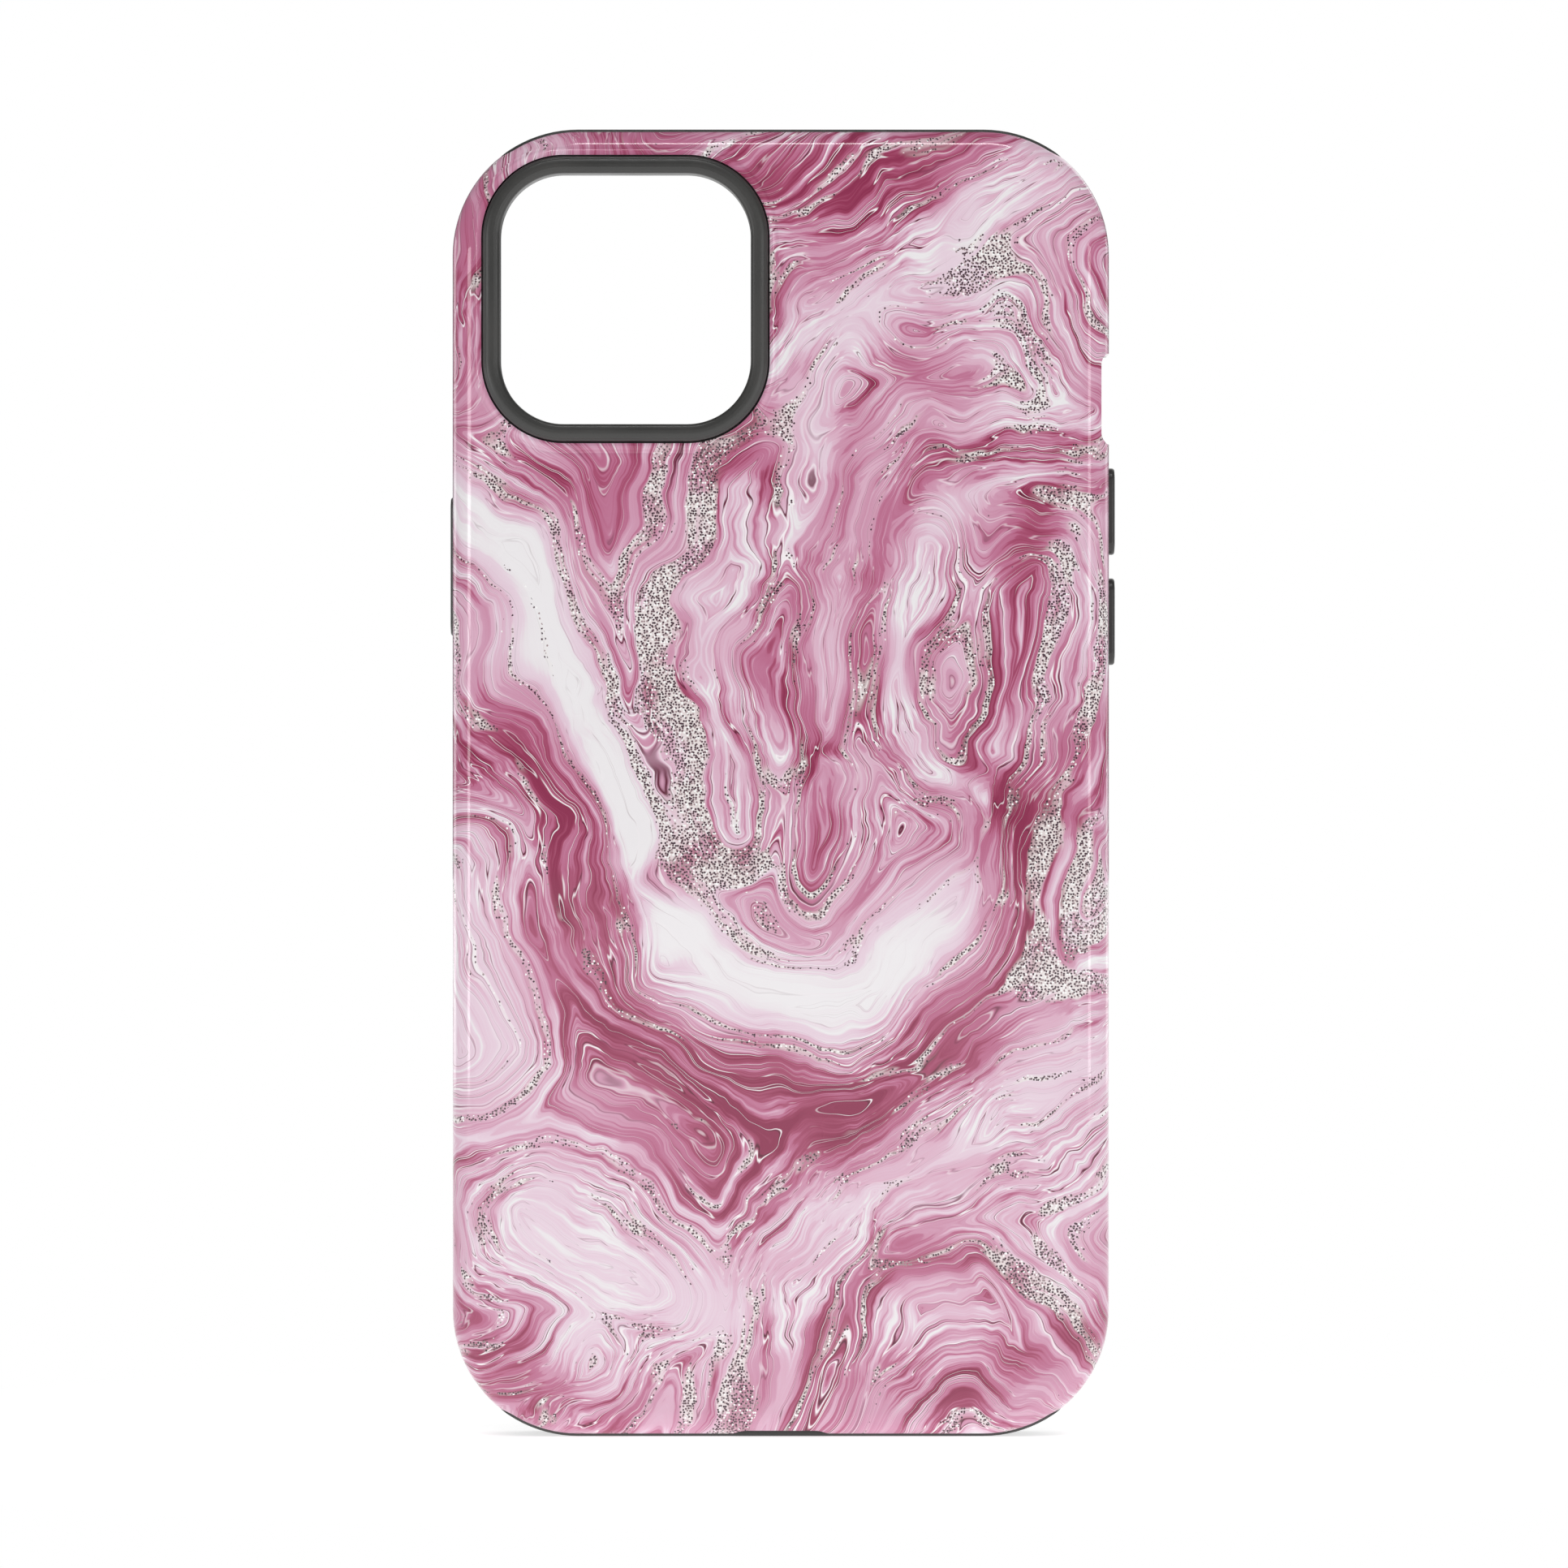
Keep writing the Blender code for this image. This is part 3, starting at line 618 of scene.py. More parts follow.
class Graph:
    """Adds nodes to a material's tree and joins them up."""

    def __init__(self, material):
        """Starts from the material's own Principled BSDF."""
        material.use_nodes = True
        self.tree = material.node_tree
        self.shader = self.tree.nodes["Principled BSDF"]

    def node(self, kind, inputs=(), **settings):
        """A node of a kind, with its settings made and its inputs fed."""
        node = self.tree.nodes.new(kind)
        for name, value in settings.items():
            setattr(node, name, value)
        for key, value in dict(inputs).items():
            self.feed(node.inputs[key], value)
        return node

    def feed(self, socket, value):
        """Links a socket to another node's output, or gives it a fixed value."""
        if isinstance(value, bpy.types.NodeSocket):
            self.tree.links.new(value, socket)
        else:
            socket.default_value = value

    def math(self, operation, *values, clamp=False):
        """The result of a maths node."""
        node = self.node("ShaderNodeMath", operation=operation, use_clamp=clamp)
        for socket, value in zip(node.inputs, values):
            self.feed(socket, value)
        return node.outputs[0]

    def vector(self, operation, *values, out="Vector"):
        """The result of a vector maths node."""
        node = self.node("ShaderNodeVectorMath", operation=operation)
        for socket, value in zip(node.inputs, values):
            self.feed(socket, value)
        return node.outputs[out]

    def scale(self, vector, factor):
        """A vector times a number."""
        node = self.node("ShaderNodeVectorMath", {0: vector, "Scale": factor}, operation="SCALE")
        return node.outputs[0]

    def join(self, x=0.0, y=0.0, z=0.0):
        """A vector from its three parts."""
        return self.node("ShaderNodeCombineXYZ", {0: x, 1: y, 2: z}).outputs[0]

    def split(self, vector):
        """The three parts of a vector."""
        return self.node("ShaderNodeSeparateXYZ", {0: vector}).outputs

    def noise(self, vector, size, detail=0.0, roughness=0.5, dimensions="3D", out="Fac"):
        """Smooth noise with patches about size across, from 0 to 1."""
        settings = {"Vector": vector, "Scale": 1 / size, "Detail": detail, "Roughness": roughness}
        return self.node("ShaderNodeTexNoise", settings, noise_dimensions=dimensions).outputs[out]

    def ramp(self, value, stops, interpolation="LINEAR"):
        """The colour at a value, between stops of (position, colour)."""
        node = self.node("ShaderNodeValToRGB", {0: value})
        node.color_ramp.interpolation = interpolation
        elements = node.color_ramp.elements
        elements.remove(elements[-1])
        elements[0].position, elements[0].color = stops[0]
        for position, colour in stops[1:]:
            elements.new(position).color = colour
        return node.outputs[0]

    def mix(self, factor, a, b):
        """Colour a where the factor is 0, and b where it is 1."""
        node = self.node("ShaderNodeMix", {0: factor, 6: a, 7: b}, data_type="RGBA")
        return node.outputs[2]

    def smooth(self, value, low, high, to_low=0.0, to_high=1.0):
        """Eases from to_low, where the value is low, to to_high, where it is high."""
        inputs = {0: value, 1: low, 2: high, 3: to_low, 4: to_high}
        return self.node("ShaderNodeMapRange", inputs, interpolation_type="SMOOTHSTEP").outputs[0]

    def bump(self, height, strength, distance):
        """Tilts the shading by a height."""
        inputs = {"Height": height, "Strength": strength, "Distance": distance}
        self.feed(self.shader.inputs["Normal"], self.node("ShaderNodeBump", inputs).outputs[0])

    def object_mm(self):
        """The place on the object, in millimetres."""
        return self.scale(self.node("ShaderNodeTexCoord").outputs["Object"], 1 / MM)


def srgb(red, green, blue):
    """A linear RGBA colour from 8-bit display values."""
    channels = [value / 255 for value in (red, green, blue)]
    linear = [c / 12.92 if c <= 0.04045 else ((c + 0.055) / 1.055) ** 2.4 for c in channels]
    return (*linear, 1.0)


# ---------------------------------------------------------------- the marbled print

# Streams of paint: weight (negative is light, positive is dark), reach, and path on the back, in mm.
STREAMS = [
    # The white river, from the upper left down to the lower middle and up to the right.
    (-2.3, 8, [(-38, 33), (-31, 27), (-28, 17), (-22, 5), (-17, -6)]),
    (-1.1, 5, [(-20, 1), (-15, -11), (-12, -17)]),
    (-2.0, 9, [(-12, -18), (-6, -25), (8, -25), (19, -17)]),
    # The rose band under it, with a second strand below.
    (
        1.45,
        11,
        [
            (-34, 5), (-25, 0), (-19, -12), (-15, -27), (-6, -36),
            (8, -36), (19, -30), (27, -20), (31, -8),
        ],
    ),
    (0.9, 7, [(-28, -12), (-25, -28), (-15, -38), (0, -42), (12, -38)]),
    # Pale pools at the lower left.
    (-0.9, 13, [(-37, -14), (-34, -30)]),
    (-1.15, 15, [(-28, -52), (-18, -57), (-10, -59)]),
    (-0.8, 9, [(-25, -66), (-22, -71)]),
    # Rose strands at the bottom.
    (0.7, 9, [(-12, -46), (-3, -50), (0, -62)]),
    (0.9, 7, [(-37, -62), (-33, -70), (-20, -75)]),
    # Below and beside the camera window.
    (0.9, 8, [(-38, 35), (-30, 33), (-20, 34), (-12, 40)]),
    (0.6, 9, [(-36, 70), (-37, 50), (-36, 42)]),
    # The top.
    (1.2, 8, [(-20, 75), (-4, 69), (8, 70), (22, 75)]),
    (-0.9, 9, [(2, 44), (6, 54), (14, 61), (24, 67), (34, 74)]),
    (-0.8, 8, [(22, 60), (24, 52), (28, 45), (38, 40)]),
    (0.8, 7, [(0, 58), (8, 62), (16, 68)]),
    # Long bands through the middle.
    (0.9, 4, [(27, 46), (13, 48), (8, 43), (5, 33), (0, 24), (-3, 14), (2, 5), (4, -4), (4, -10)]),
    (1.1, 4, [(32, 40), (18, 38), (13, 31), (9, 24), (9, 16), (12, 8), (15, 2)]),
    (-1.0, 4, [(30, 36), (21, 34), (15, 27), (13, 18), (14, 9), (18, 2), (23, -2)]),
    (-0.6, 6, [(3, 38), (0, 30), (-6, 22), (-7, 12), (-3, 4)]),
    # The right-hand edge.
    (1.2, 5, [(31, 33), (27, 25), (28, 15), (25, 6), (26, -4), (29, -10)]),
    (1.0, 9, [(38, 42), (36, 36)]),
    (0.9, 9, [(38, 6), (32, -3)]),
    (-0.7, 7, [(38, 18), (34, 24), (35, 30)]),
    (-0.7, 7, [(33, -8), (36, -18), (30, -26)]),
    # The lower right.
    (-1.0, 10, [(0, -60), (4, -52), (12, -45), (22, -41), (36, -33)]),
    (0.9, 5, [(27, -59), (13, -56), (8, -61), (5, -70), (3, -76)]),
    (1.0, 6, [(38, -64), (24, -67), (15, -70)]),
    (-0.8, 7, [(36, -46), (30, -54), (32, -62)]),
]

# Lines that the paint was drawn along: every streak runs round the nearest one.
DRAWN = [
    # Round the U, from the upper left to the right-hand edge.
    [
        (-42, 34), (-31, 26), (-25, 12), (-18, -6), (-12, -20),
        (-3, -27), (9, -25), (20, -14), (27, 4), (28, 24),
    ],
    # The long bands inside it.
    [(38, 44), (18, 42), (9, 36), (5, 24), (3, 10), (4, -8)],
    [(-4, 40), (-6, 26), (-10, 12), (-7, -6)],
    [(17, 28), (14, 12), (19, 0)],
    # The top.
    [(-3, 46), (4, 57), (16, 64), (38, 74)],
    [(-38, 76), (-38, 48)],
    [(14, 52), (26, 56), (32, 46)],
    # The lower left.
    [(-42, -14), (-37, -30)],
    [(-30, -50), (-16, -58)],
    [(-34, -76), (-22, -68)],
    # The lower right.
    [(-2, -78), (2, -58), (12, -47), (24, -41), (42, -31)],
    [(38, -74), (22, -60), (14, -62), (8, -76)],
]

# Where glitter was sprinkled most.
GLITTER = [
    [(-10, 36), (-13, 24), (-16, 14), (-13, 3), (-9, -7), (-3, -14)],
    [(22, 62), (27, 54), (29, 44)],
    [(34, 34), (33, 20), (36, 8)],
    [(34, -8), (36, -18), (30, -24)],
    [(-6, -76), (-8, -66)],
    [(34, -52), (28, -58)],
]

# Swirls stirred into the paint, from large to small: size and push in mm, and a seed.
STIRS = [(22.0, 8.0, 11), (9.0, 2.8, 3), (3.0, 0.9, 7)]

# The middle tone, and how far each layer shifts it.
MIDDLE_TONE = 0.465
STREAM_SHARE = 0.235
DRIFT_SHARE = 0.26
BROAD_SHARE = 1.42
FINE_SHARE = 0.56

# Hairlines: the noise level that each follows, half its width there, its strength and its ink.
HAIRLINES = [
    (0.57, 0.022, 0.95, srgb(250, 243, 246)),
    (0.605, 0.018, 0.95, srgb(98, 30, 54)),
]

# How softly distances blend at a path's corners and between neighbouring paths, in mm.
STREAM_BLEND = 3.0
LINE_BLEND = 4.0
NEIGHBOUR_BLEND = 3.0

# A distance in mm that stands for no path at all.
FAR = 60

# What shifts the streaks from place to place: slow drifts of the paint, its streams and its lines.
DRIFT_SIZE = 17.0
SLOW_SIZE = 20.0
DRIFT_PHASE = 0.8
STREAM_PHASE = 0.10
LINE_PHASE = 0.12

# Streaks: scale across and along them, detail, roughness and a seed.
BROAD_STREAKS = (7.0, 2.6, 3.0, 0.56, 0.0)
FINE_STREAKS = (36.0, 6.0, 2.0, 0.6, 31.0)
HAIRLINE_STREAKS = (9.0, 3.0, 1.0, 0.5, 77.0)
GLITTER_STREAKS = (3.2, 2.4, 2.0, 0.6, 140.0)

# Where streaks fade: over pale streams by their weight, and in patches by noise. The last two of
# each are the strengths at either end.
PALE_FADE = (-1.5, -0.5, 0.25, 1.0)
PATCH_SIZE = 12.0
PATCH_FADE = (0.40, 0.60, 0.45, 1.15)

# How near a glitter path flakes are likelier, in mm, by how much, and the noise they start at.
GLITTER_REACH = 6.5
GLITTER_PULL = 0.21
GLITTER_ONSET = (0.62, 0.74)

# The sprinkled flakes: spacing in mm, rim as a share of it, how a flake's chance is scaled, their
# shades from dark to bright, and the bright ground that lies under them in places.
FLAKE_SPACING = 0.31
FLAKE_RIM = (0.34, 0.46)
FLAKE_ODDS = (0.9, 0.05)
FLAKE_SHADES = [
    (0.0, srgb(70, 46, 58)),
    (0.38, srgb(104, 80, 88)),
    (0.64, srgb(166, 146, 148)),
    (0.86, srgb(252, 251, 250)),
]
FLAKE_GROUND = srgb(240, 235, 232)
GROUND_SIZE = 6.0
GROUND_FADE = (0.38, 0.56, 0.15, 0.85)

# Paint colours from light to dark: each is nearly even, with a quick change to the next.
PAINT = [
    (0.00, srgb(240, 237, 239)),
    (0.09, srgb(237, 230, 234)),
    (0.14, srgb(234, 214, 226)),
    (0.27, srgb(229, 201, 217)),
    (0.29, srgb(225, 189, 208)),
    (0.42, srgb(221, 175, 197)),
    (0.44, srgb(212, 158, 184)),
    (0.56, srgb(207, 146, 173)),
    (0.58, srgb(195, 121, 153)),
    (0.71, srgb(187, 104, 138)),
    (0.73, srgb(174, 84, 118)),
    (0.86, srgb(158, 63, 97)),
    (0.90, srgb(151, 54, 89)),
    (1.00, srgb(143, 44, 81)),
]


def unrolled_print(g):
    """Millimetre coordinates of the flat print, carried on round the edges and down the sides."""
    position = g.object_mm()
    x, y, z = g.split(position)
    flat = g.join(x, z)
    core = ((HALF_WIDTH - CORNER_RADIUS) / MM, (HALF_HEIGHT - CORNER_RADIUS) / MM, 0)
    anchor = g.vector("MAXIMUM", g.vector("MINIMUM", flat, core), tuple(-c for c in core))
    offset = g.vector("SUBTRACT", flat, anchor)
    reach = g.vector("LENGTH", offset, out="Value")
    flat_reach = (CORNER_RADIUS - BACK_EDGE_RADIUS) / MM
    edge = BACK_EDGE_RADIUS / MM
    past_flat = g.math("MAXIMUM", g.math("SUBTRACT", reach, flat_reach), 0.0)
    to_centre = g.math("MAXIMUM", g.math("SUBTRACT", edge, y), 0.0001)
    round_part = g.math("MULTIPLY", g.math("ARCTAN2", past_flat, to_centre), edge)
    side_part = g.math("MAXIMUM", g.math("SUBTRACT", y, edge), 0.0)
    unrolled = g.math("ADD", g.math("ADD", round_part, side_part), g.math("MINIMUM", reach, flat_reach))
    return g.vector("ADD", anchor, g.scale(g.vector("NORMALIZE", offset), unrolled))


def stir(g, point, size, amount, seed):
    """Pushes points about by smooth noise, as stirring does to paint."""
    moved = g.vector("ADD", point, (seed, 3 * seed, 0))
    push = g.noise(moved, size, 1.0, dimensions="2D", out="Color")
    return g.vector("ADD", point, g.scale(g.vector("SUBTRACT", push, (0.5, 0.5, 0.5)), amount))


def distance_to_path(g, point, path, blend):
    """Distance from a point, whose third place is ignored, to a path, its corners blended."""
    nearest = None
    for (x0, z0), (x1, z1) in zip(path, path[1:]):
        along = (x1 - x0, z1 - z0, 0)
        start = g.vector("MULTIPLY_ADD", point, (1, 1, 0), (-x0, -z0, 0))
        share = g.math(
            "MULTIPLY",
            g.vector("DOT_PRODUCT", start, along, out="Value"),
            1 / (along[0] ** 2 + along[1] ** 2),
            clamp=True,
        )
        distance = g.vector("DISTANCE", start, g.scale(along, share), out="Value")
        nearest = distance if nearest is None else g.math("SMOOTH_MIN", nearest, distance, blend)
    return nearest


def stream_weight(g, point):
    """The point with the summed pull of all streams in its third place.

    Sums ride there so that the paths are worked out one after another, and the shader never holds
    many values at once.
    """
    carried = g.vector("MULTIPLY", point, (1, 1, 0))
    for weight, reach, path in STREAMS:
        amount = g.smooth(distance_to_path(g, carried, path, STREAM_BLEND), 0.0, reach, weight, 0.0)
        carried = g.vector("ADD", carried, g.join(z=amount))
    return carried


def nearest_path(g, point, paths, operation):
    """The point with its distance to the nearest of several paths in its third place."""
    carried = g.vector("MULTIPLY_ADD", point, (1, 1, 0), (0, 0, FAR))
    for path in paths:
        distance = distance_to_path(g, carried, path, LINE_BLEND)
        so_far = g.split(carried)[2]
        nearest = g.math(operation, so_far, distance, NEIGHBOUR_BLEND)
        change = g.math("SUBTRACT", nearest, so_far)
        carried = g.vector("ADD", carried, g.join(z=change))
    return carried


def marble_colour(g):
    """Streams of light and dark paint, stirred together, with hairlines and sprinkled glitter."""
    flat = unrolled_print(g)
    point = flat
    for size, amount, seed in STIRS:
        point = stir(g, point, size, amount, seed)

    carried = stream_weight(g, point)
    weight = g.split(carried)[2]
    carried = nearest_path(g, carried, DRAWN, "SMOOTH_MIN")
    drawn = g.split(carried)[2]
    carried = nearest_path(g, carried, GLITTER, "MINIMUM")
    sprinkled = g.split(carried)[2]
    point = g.vector("MULTIPLY", carried, (1, 1, 0))

    drift = g.math("SUBTRACT", g.noise(point, DRIFT_SIZE, 1.0, dimensions="2D"), 0.5)
    phase = g.math("MULTIPLY_ADD", drift, DRIFT_PHASE, g.math("MULTIPLY", weight, STREAM_PHASE))
    phase = g.math("MULTIPLY_ADD", drawn, LINE_PHASE, phase)
    slow = g.noise(point, SLOW_SIZE, dimensions="2D")

    def streaks(across, along, detail, roughness, seed):
        """Noise that is fine across the streaks and slow along them."""
        moved = g.math("MULTIPLY_ADD", phase, across, seed)
        return g.noise(g.join(moved, g.math("MULTIPLY", slow, along)), 1.0, detail, roughness, "2D")

    # The streaks fade where the paint is pale, and in patches everywhere.
    strength = g.smooth(weight, *PALE_FADE)
    patches = g.smooth(g.noise(point, PATCH_SIZE, 1.0, dimensions="2D"), *PATCH_FADE)
    strength = g.math("MULTIPLY", strength, patches)
    broad = g.math("MULTIPLY", g.math("SUBTRACT", streaks(*BROAD_STREAKS), 0.5), strength)
    fine = g.math("MULTIPLY", g.math("SUBTRACT", streaks(*FINE_STREAKS), 0.5), strength)
    tone = g.math("MULTIPLY_ADD", drift, DRIFT_SHARE, MIDDLE_TONE)
    tone = g.math("MULTIPLY_ADD", weight, STREAM_SHARE, tone)
    tone = g.math("MULTIPLY_ADD", broad, BROAD_SHARE, tone)
    tone = g.math("MULTIPLY_ADD", fine, FINE_SHARE, tone)
    colour = g.ramp(tone, PAINT)

    lines = streaks(*HAIRLINE_STREAKS)
    for level, half_width, most, ink in HAIRLINES:
        from_line = g.math("ABSOLUTE", g.math("SUBTRACT", lines, level))
        line = g.smooth(from_line, 0.0, half_width, most, 0.0)
        colour = g.mix(g.math("MULTIPLY", line, strength, clamp=True), colour, ink)

    pull = g.smooth(sprinkled, 0.0, GLITTER_REACH, GLITTER_PULL, 0.0)
    where = g.math("ADD", streaks(*GLITTER_STREAKS), pull)
    return sprinkle_glitter(g, flat, colour, g.smooth(where, *GLITTER_ONSET))


def sprinkle_glitter(g, flat, colour, density):
    """Fine round flakes, mostly dark, on a bright ground: the flakes thin out at the fringes."""
    scale = 1 / FLAKE_SPACING
    cells = g.node("ShaderNodeTexVoronoi", {"Vector": flat, "Scale": scale}, voronoi_dimensions="2D")
    flake = g.smooth(cells.outputs["Distance"], *FLAKE_RIM, 1.0, 0.0)
    chance, pick, _ = g.node("ShaderNodeSeparateColor", {0: cells.outputs["Color"]}).outputs
    present = g.math("LESS_THAN", g.math("MULTIPLY_ADD", chance, *FLAKE_ODDS), density)
    backing = g.smooth(g.noise(flat, GROUND_SIZE, 1.0, dimensions="2D"), *GROUND_FADE)
    ground = g.mix(g.math("MULTIPLY", density, backing), colour, FLAKE_GROUND)
    cover = g.math("MULTIPLY", flake, present)
    return g.mix(cover, ground, g.ramp(pick, FLAKE_SHADES, "CONSTANT"))


def printed_material():
    """Printed polycarbonate under a clear gloss coat."""
    material = bpy.data.materials.new("printed_gloss")
    g = Graph(material)
    g.feed(g.shader.inputs["Base Color"], marble_colour(g))
    position = g.object_mm()
    haze = g.noise(position, 9.0, 3.0)
    g.feed(g.shader.inputs["Roughness"], g.smooth(haze, 0.3, 0.7, 0.20, 0.28))
    g.feed(g.shader.inputs["Specular IOR Level"], 0.2)
    g.feed(g.shader.inputs["Coat Weight"], 1.0)
    g.feed(g.shader.inputs["Coat Roughness"], g.smooth(haze, 0.3, 0.7, 0.03, 0.06))
    g.bump(g.noise(position, 1.6, 1.0), 0.04, 0.00002)
    return material


# ---------------------------------------------------------------- the other materials


def soft_material():
    """Dark grey TPU: satin, with the fine grain of a blasted mould."""
    material = bpy.data.materials.new("soft_tpu")
    g = Graph(material)
    position = g.object_mm()
    grain = g.noise(position, 0.22, 2.0, 0.6)
    cloud = g.noise(position, 14.0, 3.0)
    shade = g.math("MULTIPLY_ADD", grain, 0.25, g.math("MULTIPLY", cloud, 0.75))
    colour = g.ramp(shade, [(0.35, srgb(50, 50, 49)), (0.65, srgb(60, 59, 57))])
    g.feed(g.shader.inputs["Base Color"], colour)
    g.feed(g.shader.inputs["Roughness"], g.smooth(shade, 0.35, 0.65, 0.30, 0.40))
    g.feed(g.shader.inputs["Specular IOR Level"], 0.65)
    g.bump(grain, 0.25, 0.00003)
    return material


def nickel_material():
    """Nickel plating on a sintered magnet: bright, faintly pitted, with grinding marks."""
    material = bpy.data.materials.new("nickel_plating")
    g = Graph(material)
    position = g.object_mm()
    marks = g.noise(g.vector("MULTIPLY", position, (1, 1, 12)), 1.2, 2.0)
    pits = g.noise(position, 0.3, 2.0)
    colour = g.ramp(marks, [(0.3, srgb(190, 186, 178)), (0.7, srgb(214, 211, 204))])
    g.feed(g.shader.inputs["Base Color"], colour)
    g.feed(g.shader.inputs["Metallic"], 1.0)
    g.feed(g.shader.inputs["Roughness"], g.smooth(marks, 0.3, 0.7, 0.22, 0.36))
    g.bump(pits, 0.2, 0.00002)
    return material


def film_material():
    """Pale double-sided film, faintly streaked by its adhesive."""
    material = bpy.data.materials.new("adhesive_film")
    g = Graph(material)
    position = g.object_mm()
    streak = g.noise(g.vector("MULTIPLY", position, (5, 1, 1)), 3.0, 3.0)
    colour = g.ramp(streak, [(0.3, srgb(206, 204, 196)), (0.7, srgb(224, 222, 214))])
    g.feed(g.shader.inputs["Base Color"], colour)
    g.feed(g.shader.inputs["Roughness"], g.smooth(streak, 0.3, 0.7, 0.34, 0.5))
    g.bump(g.noise(position, 0.6, 2.0), 0.15, 0.00002)
    return material


def dress_node(name, material):
    """Gives a carried-over CAD node its material."""
    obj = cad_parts[name]
    obj.data.materials.clear()
    obj.data.materials.append(material)


# ---------------------------------------------------------------- studio

FLOOR_RADIUS = 6.0
FLOOR_STEPS = 96
FLOOR_DROP = 0.02 * MM
FLOOR_GLOW = 0.64
# The floor turns from paper to plain white between these distances from the case, in mm.
FLOOR_FADE = (30.0, 130.0)

# The world's light: where it is brightest, how much it varies, its middle, and what gloss sees.
WORLD_LEAN = (0.35, 0.0, -0.55)
WORLD_VARIATION = 0.55
WORLD_STRENGTH = 0.73
REFLECTED_STRENGTH = 0.15
CAMERA_STRENGTH = 1.0

# Soft boxes: azimuth and elevation in degrees, distance, width and height in metres, and watts.
# Azimuth 0 is the camera's side, and 90 is the right-hand side of the picture.
LIGHTS = {
    "left_strip": (-43, 0, 1.2, 0.24, 0.36, 1.3),
    "right_strip": (28, 0, 1.2, 0.26, 0.36, 1.0),
    "top_strip": (0, 54, 1.2, 0.50, 0.11, 2.0),
    "left_rim": (-128, 0, 1.2, 0.5, 0.5, 1.0),
    "right_rim": (132, 0, 1.2, 0.4, 0.5, 0.6),
    "rear_fill": (160, 35, 1.5, 1.0, 1.0, 3.0),
}

# The camera: a long lens, the width that it sees at the case, and the point that it looks at.
LENS = 200
SENSOR_WIDTH = 36
VIEW_WIDTH = 182.9 * MM
VIEW_CENTRE = (0.38 * MM, -0.14 * MM)
CAMERA_REACH = 20


def make_floor():
    """A pale paper floor that the case stands on, fading into the white around it."""
    bm = bmesh.new()
    bmesh.ops.create_circle(bm, cap_ends=True, radius=FLOOR_RADIUS, segments=FLOOR_STEPS)
    mesh = bpy.data.meshes.new("floor")
    bm.to_mesh(mesh)
    bm.free()
    floor = bpy.data.objects.new("floor", mesh)
    bpy.context.scene.collection.objects.link(floor)
    floor.location.z = cad_bounds[0][2] - FLOOR_DROP
    material = bpy.data.materials.new("floor_paper")
    g = Graph(material)
    position = g.object_mm()
    tooth = g.noise(position, 2.0, 3.0)
    colour = g.ramp(tooth, [(0.3, srgb(222, 222, 222)), (0.7, srgb(228, 228, 228))])
    g.feed(g.shader.inputs["Base Color"], colour)
    g.feed(g.shader.inputs["Roughness"], 0.9)
    g.feed(g.shader.inputs["Specular IOR Level"], 0.1)
    g.feed(g.shader.inputs["Emission Color"], (1, 1, 1, 1))
    g.feed(g.shader.inputs["Emission Strength"], FLOOR_GLOW)
    away = g.smooth(g.vector("LENGTH", position, out="Value"), *FLOOR_FADE)
    white = g.node("ShaderNodeEmission", {0: (1, 1, 1, 1)}).outputs[0]
    blend = g.node("ShaderNodeMixShader", {0: away, 1: g.shader.outputs[0], 2: white})
    output = g.tree.nodes["Material Output"]
    g.tree.links.new(blend.outputs[0], output.inputs[0])
    mesh.materials.append(material)


def strip_light(name, azimuth, elevation, distance, width, height, power):
    """A soft box that looks at the middle of the case."""
    azimuth, elevation = math.radians(azimuth), math.radians(elevation)
    light = bpy.data.lights.new(name, "AREA")
    light.shape = "RECTANGLE"
    light.size, light.size_y = width, height
    light.energy = power
    obj = bpy.data.objects.new(name, light)
    bpy.context.scene.collection.objects.link(obj)
    level = math.cos(elevation)
    towards = Vector((math.sin(azimuth) * level, -math.cos(azimuth) * level, math.sin(elevation)))
    obj.location = towards * distance
    obj.rotation_euler = (-towards).to_track_quat("-Z", "Y").to_euler()
    obj.visible_camera = False


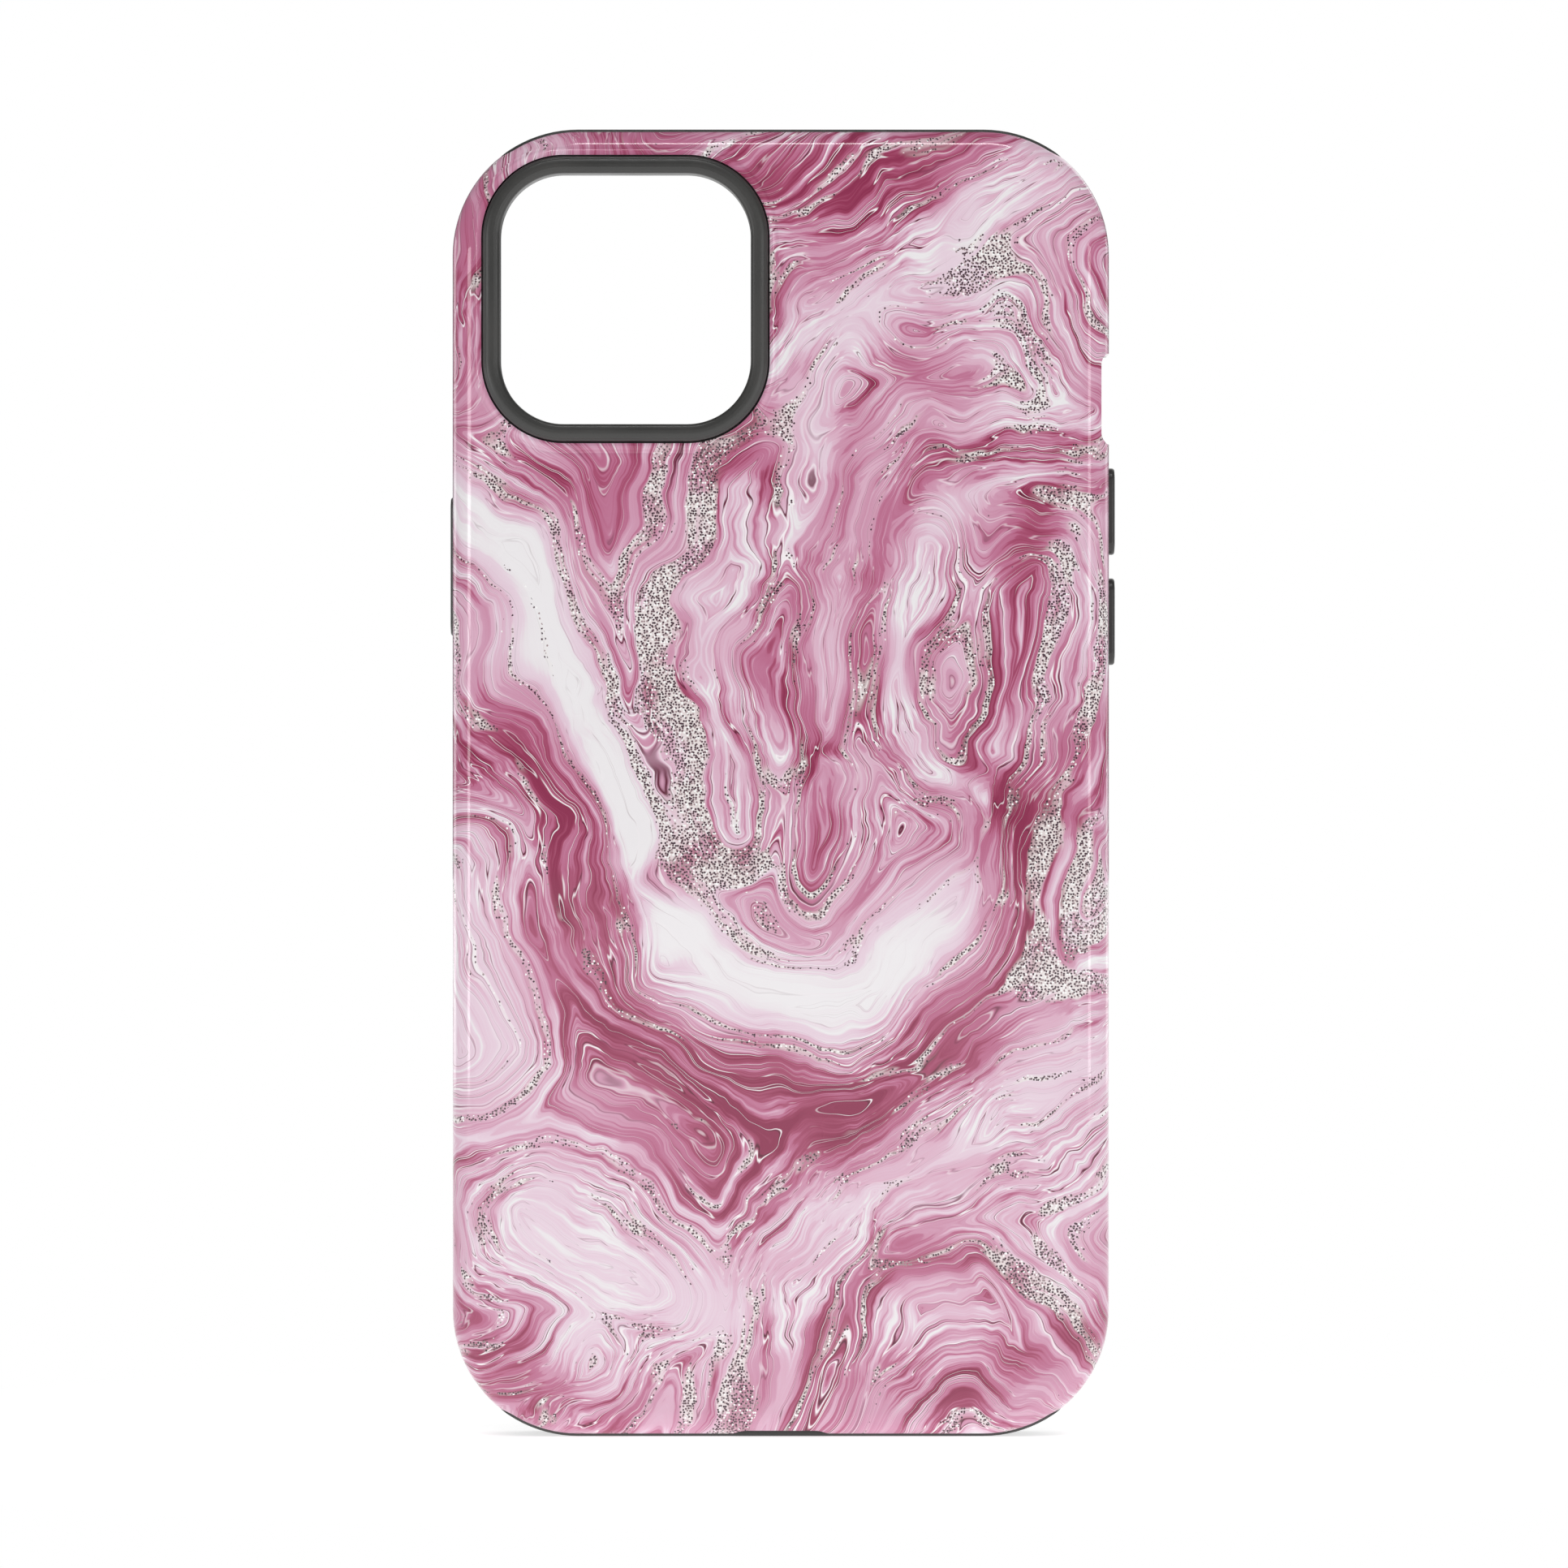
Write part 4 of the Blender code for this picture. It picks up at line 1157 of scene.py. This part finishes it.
def make_world():
    """White all round for the camera, dimmer as light and brightest from the lower right."""
    world = bpy.data.worlds.new("white_studio")
    bpy.context.scene.world = world
    world.use_nodes = True
    nodes, links = world.node_tree.nodes, world.node_tree.links
    background = nodes["Background"]
    background.inputs["Color"].default_value = (1, 1, 1, 1)
    direction = nodes.new("ShaderNodeTexCoord")
    lean = nodes.new("ShaderNodeVectorMath")
    lean.operation = "DOT_PRODUCT"
    lean.inputs[1].default_value = WORLD_LEAN
    links.new(direction.outputs["Generated"], lean.inputs[0])
    light = nodes.new("ShaderNodeMath")
    light.operation = "MULTIPLY_ADD"
    light.inputs[1].default_value = WORLD_VARIATION
    light.inputs[2].default_value = WORLD_STRENGTH
    links.new(lean.outputs["Value"], light.inputs[0])
    rays = nodes.new("ShaderNodeLightPath")
    reflected = nodes.new("ShaderNodeMapRange")
    reflected.inputs["To Max"].default_value = REFLECTED_STRENGTH
    links.new(light.outputs[0], reflected.inputs["To Min"])
    links.new(rays.outputs["Is Glossy Ray"], reflected.inputs["Value"])
    strength = nodes.new("ShaderNodeMapRange")
    strength.inputs["To Max"].default_value = CAMERA_STRENGTH
    links.new(reflected.outputs[0], strength.inputs["To Min"])
    links.new(rays.outputs["Is Camera Ray"], strength.inputs["Value"])
    links.new(strength.outputs[0], background.inputs["Strength"])


def make_camera():
    """A long lens, straight on to the back of the case."""
    camera = bpy.data.cameras.new("camera")
    camera.lens = LENS
    camera.sensor_width = SENSOR_WIDTH
    camera.clip_end = CAMERA_REACH
    obj = bpy.data.objects.new("camera", camera)
    bpy.context.scene.collection.objects.link(obj)
    distance = VIEW_WIDTH * LENS / SENSOR_WIDTH
    obj.location = (VIEW_CENTRE[0], -distance, VIEW_CENTRE[1])
    obj.rotation_euler = (math.pi / 2, 0, 0)
    bpy.context.scene.camera = obj


def make_studio():
    """Floor, surroundings, camera and lights."""
    make_floor()
    make_world()
    make_camera()
    for name, sizes in LIGHTS.items():
        strip_light(name, *sizes)
    bpy.context.scene.view_settings.view_transform = "Standard"


def main():
    """Builds the pieces and the studio."""
    printed = printed_material()
    soft = soft_material()
    make_shell(printed)
    make_liner(soft)
    for body, (node, side) in BUTTONS.items():
        make_button(body, node, side, soft)
    nickel, film = nickel_material(), film_material()
    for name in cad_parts:
        if "magnet" in name:
            dress_node(name, nickel)
        elif "film" in name:
            dress_node(name, film)
    make_studio()


main()
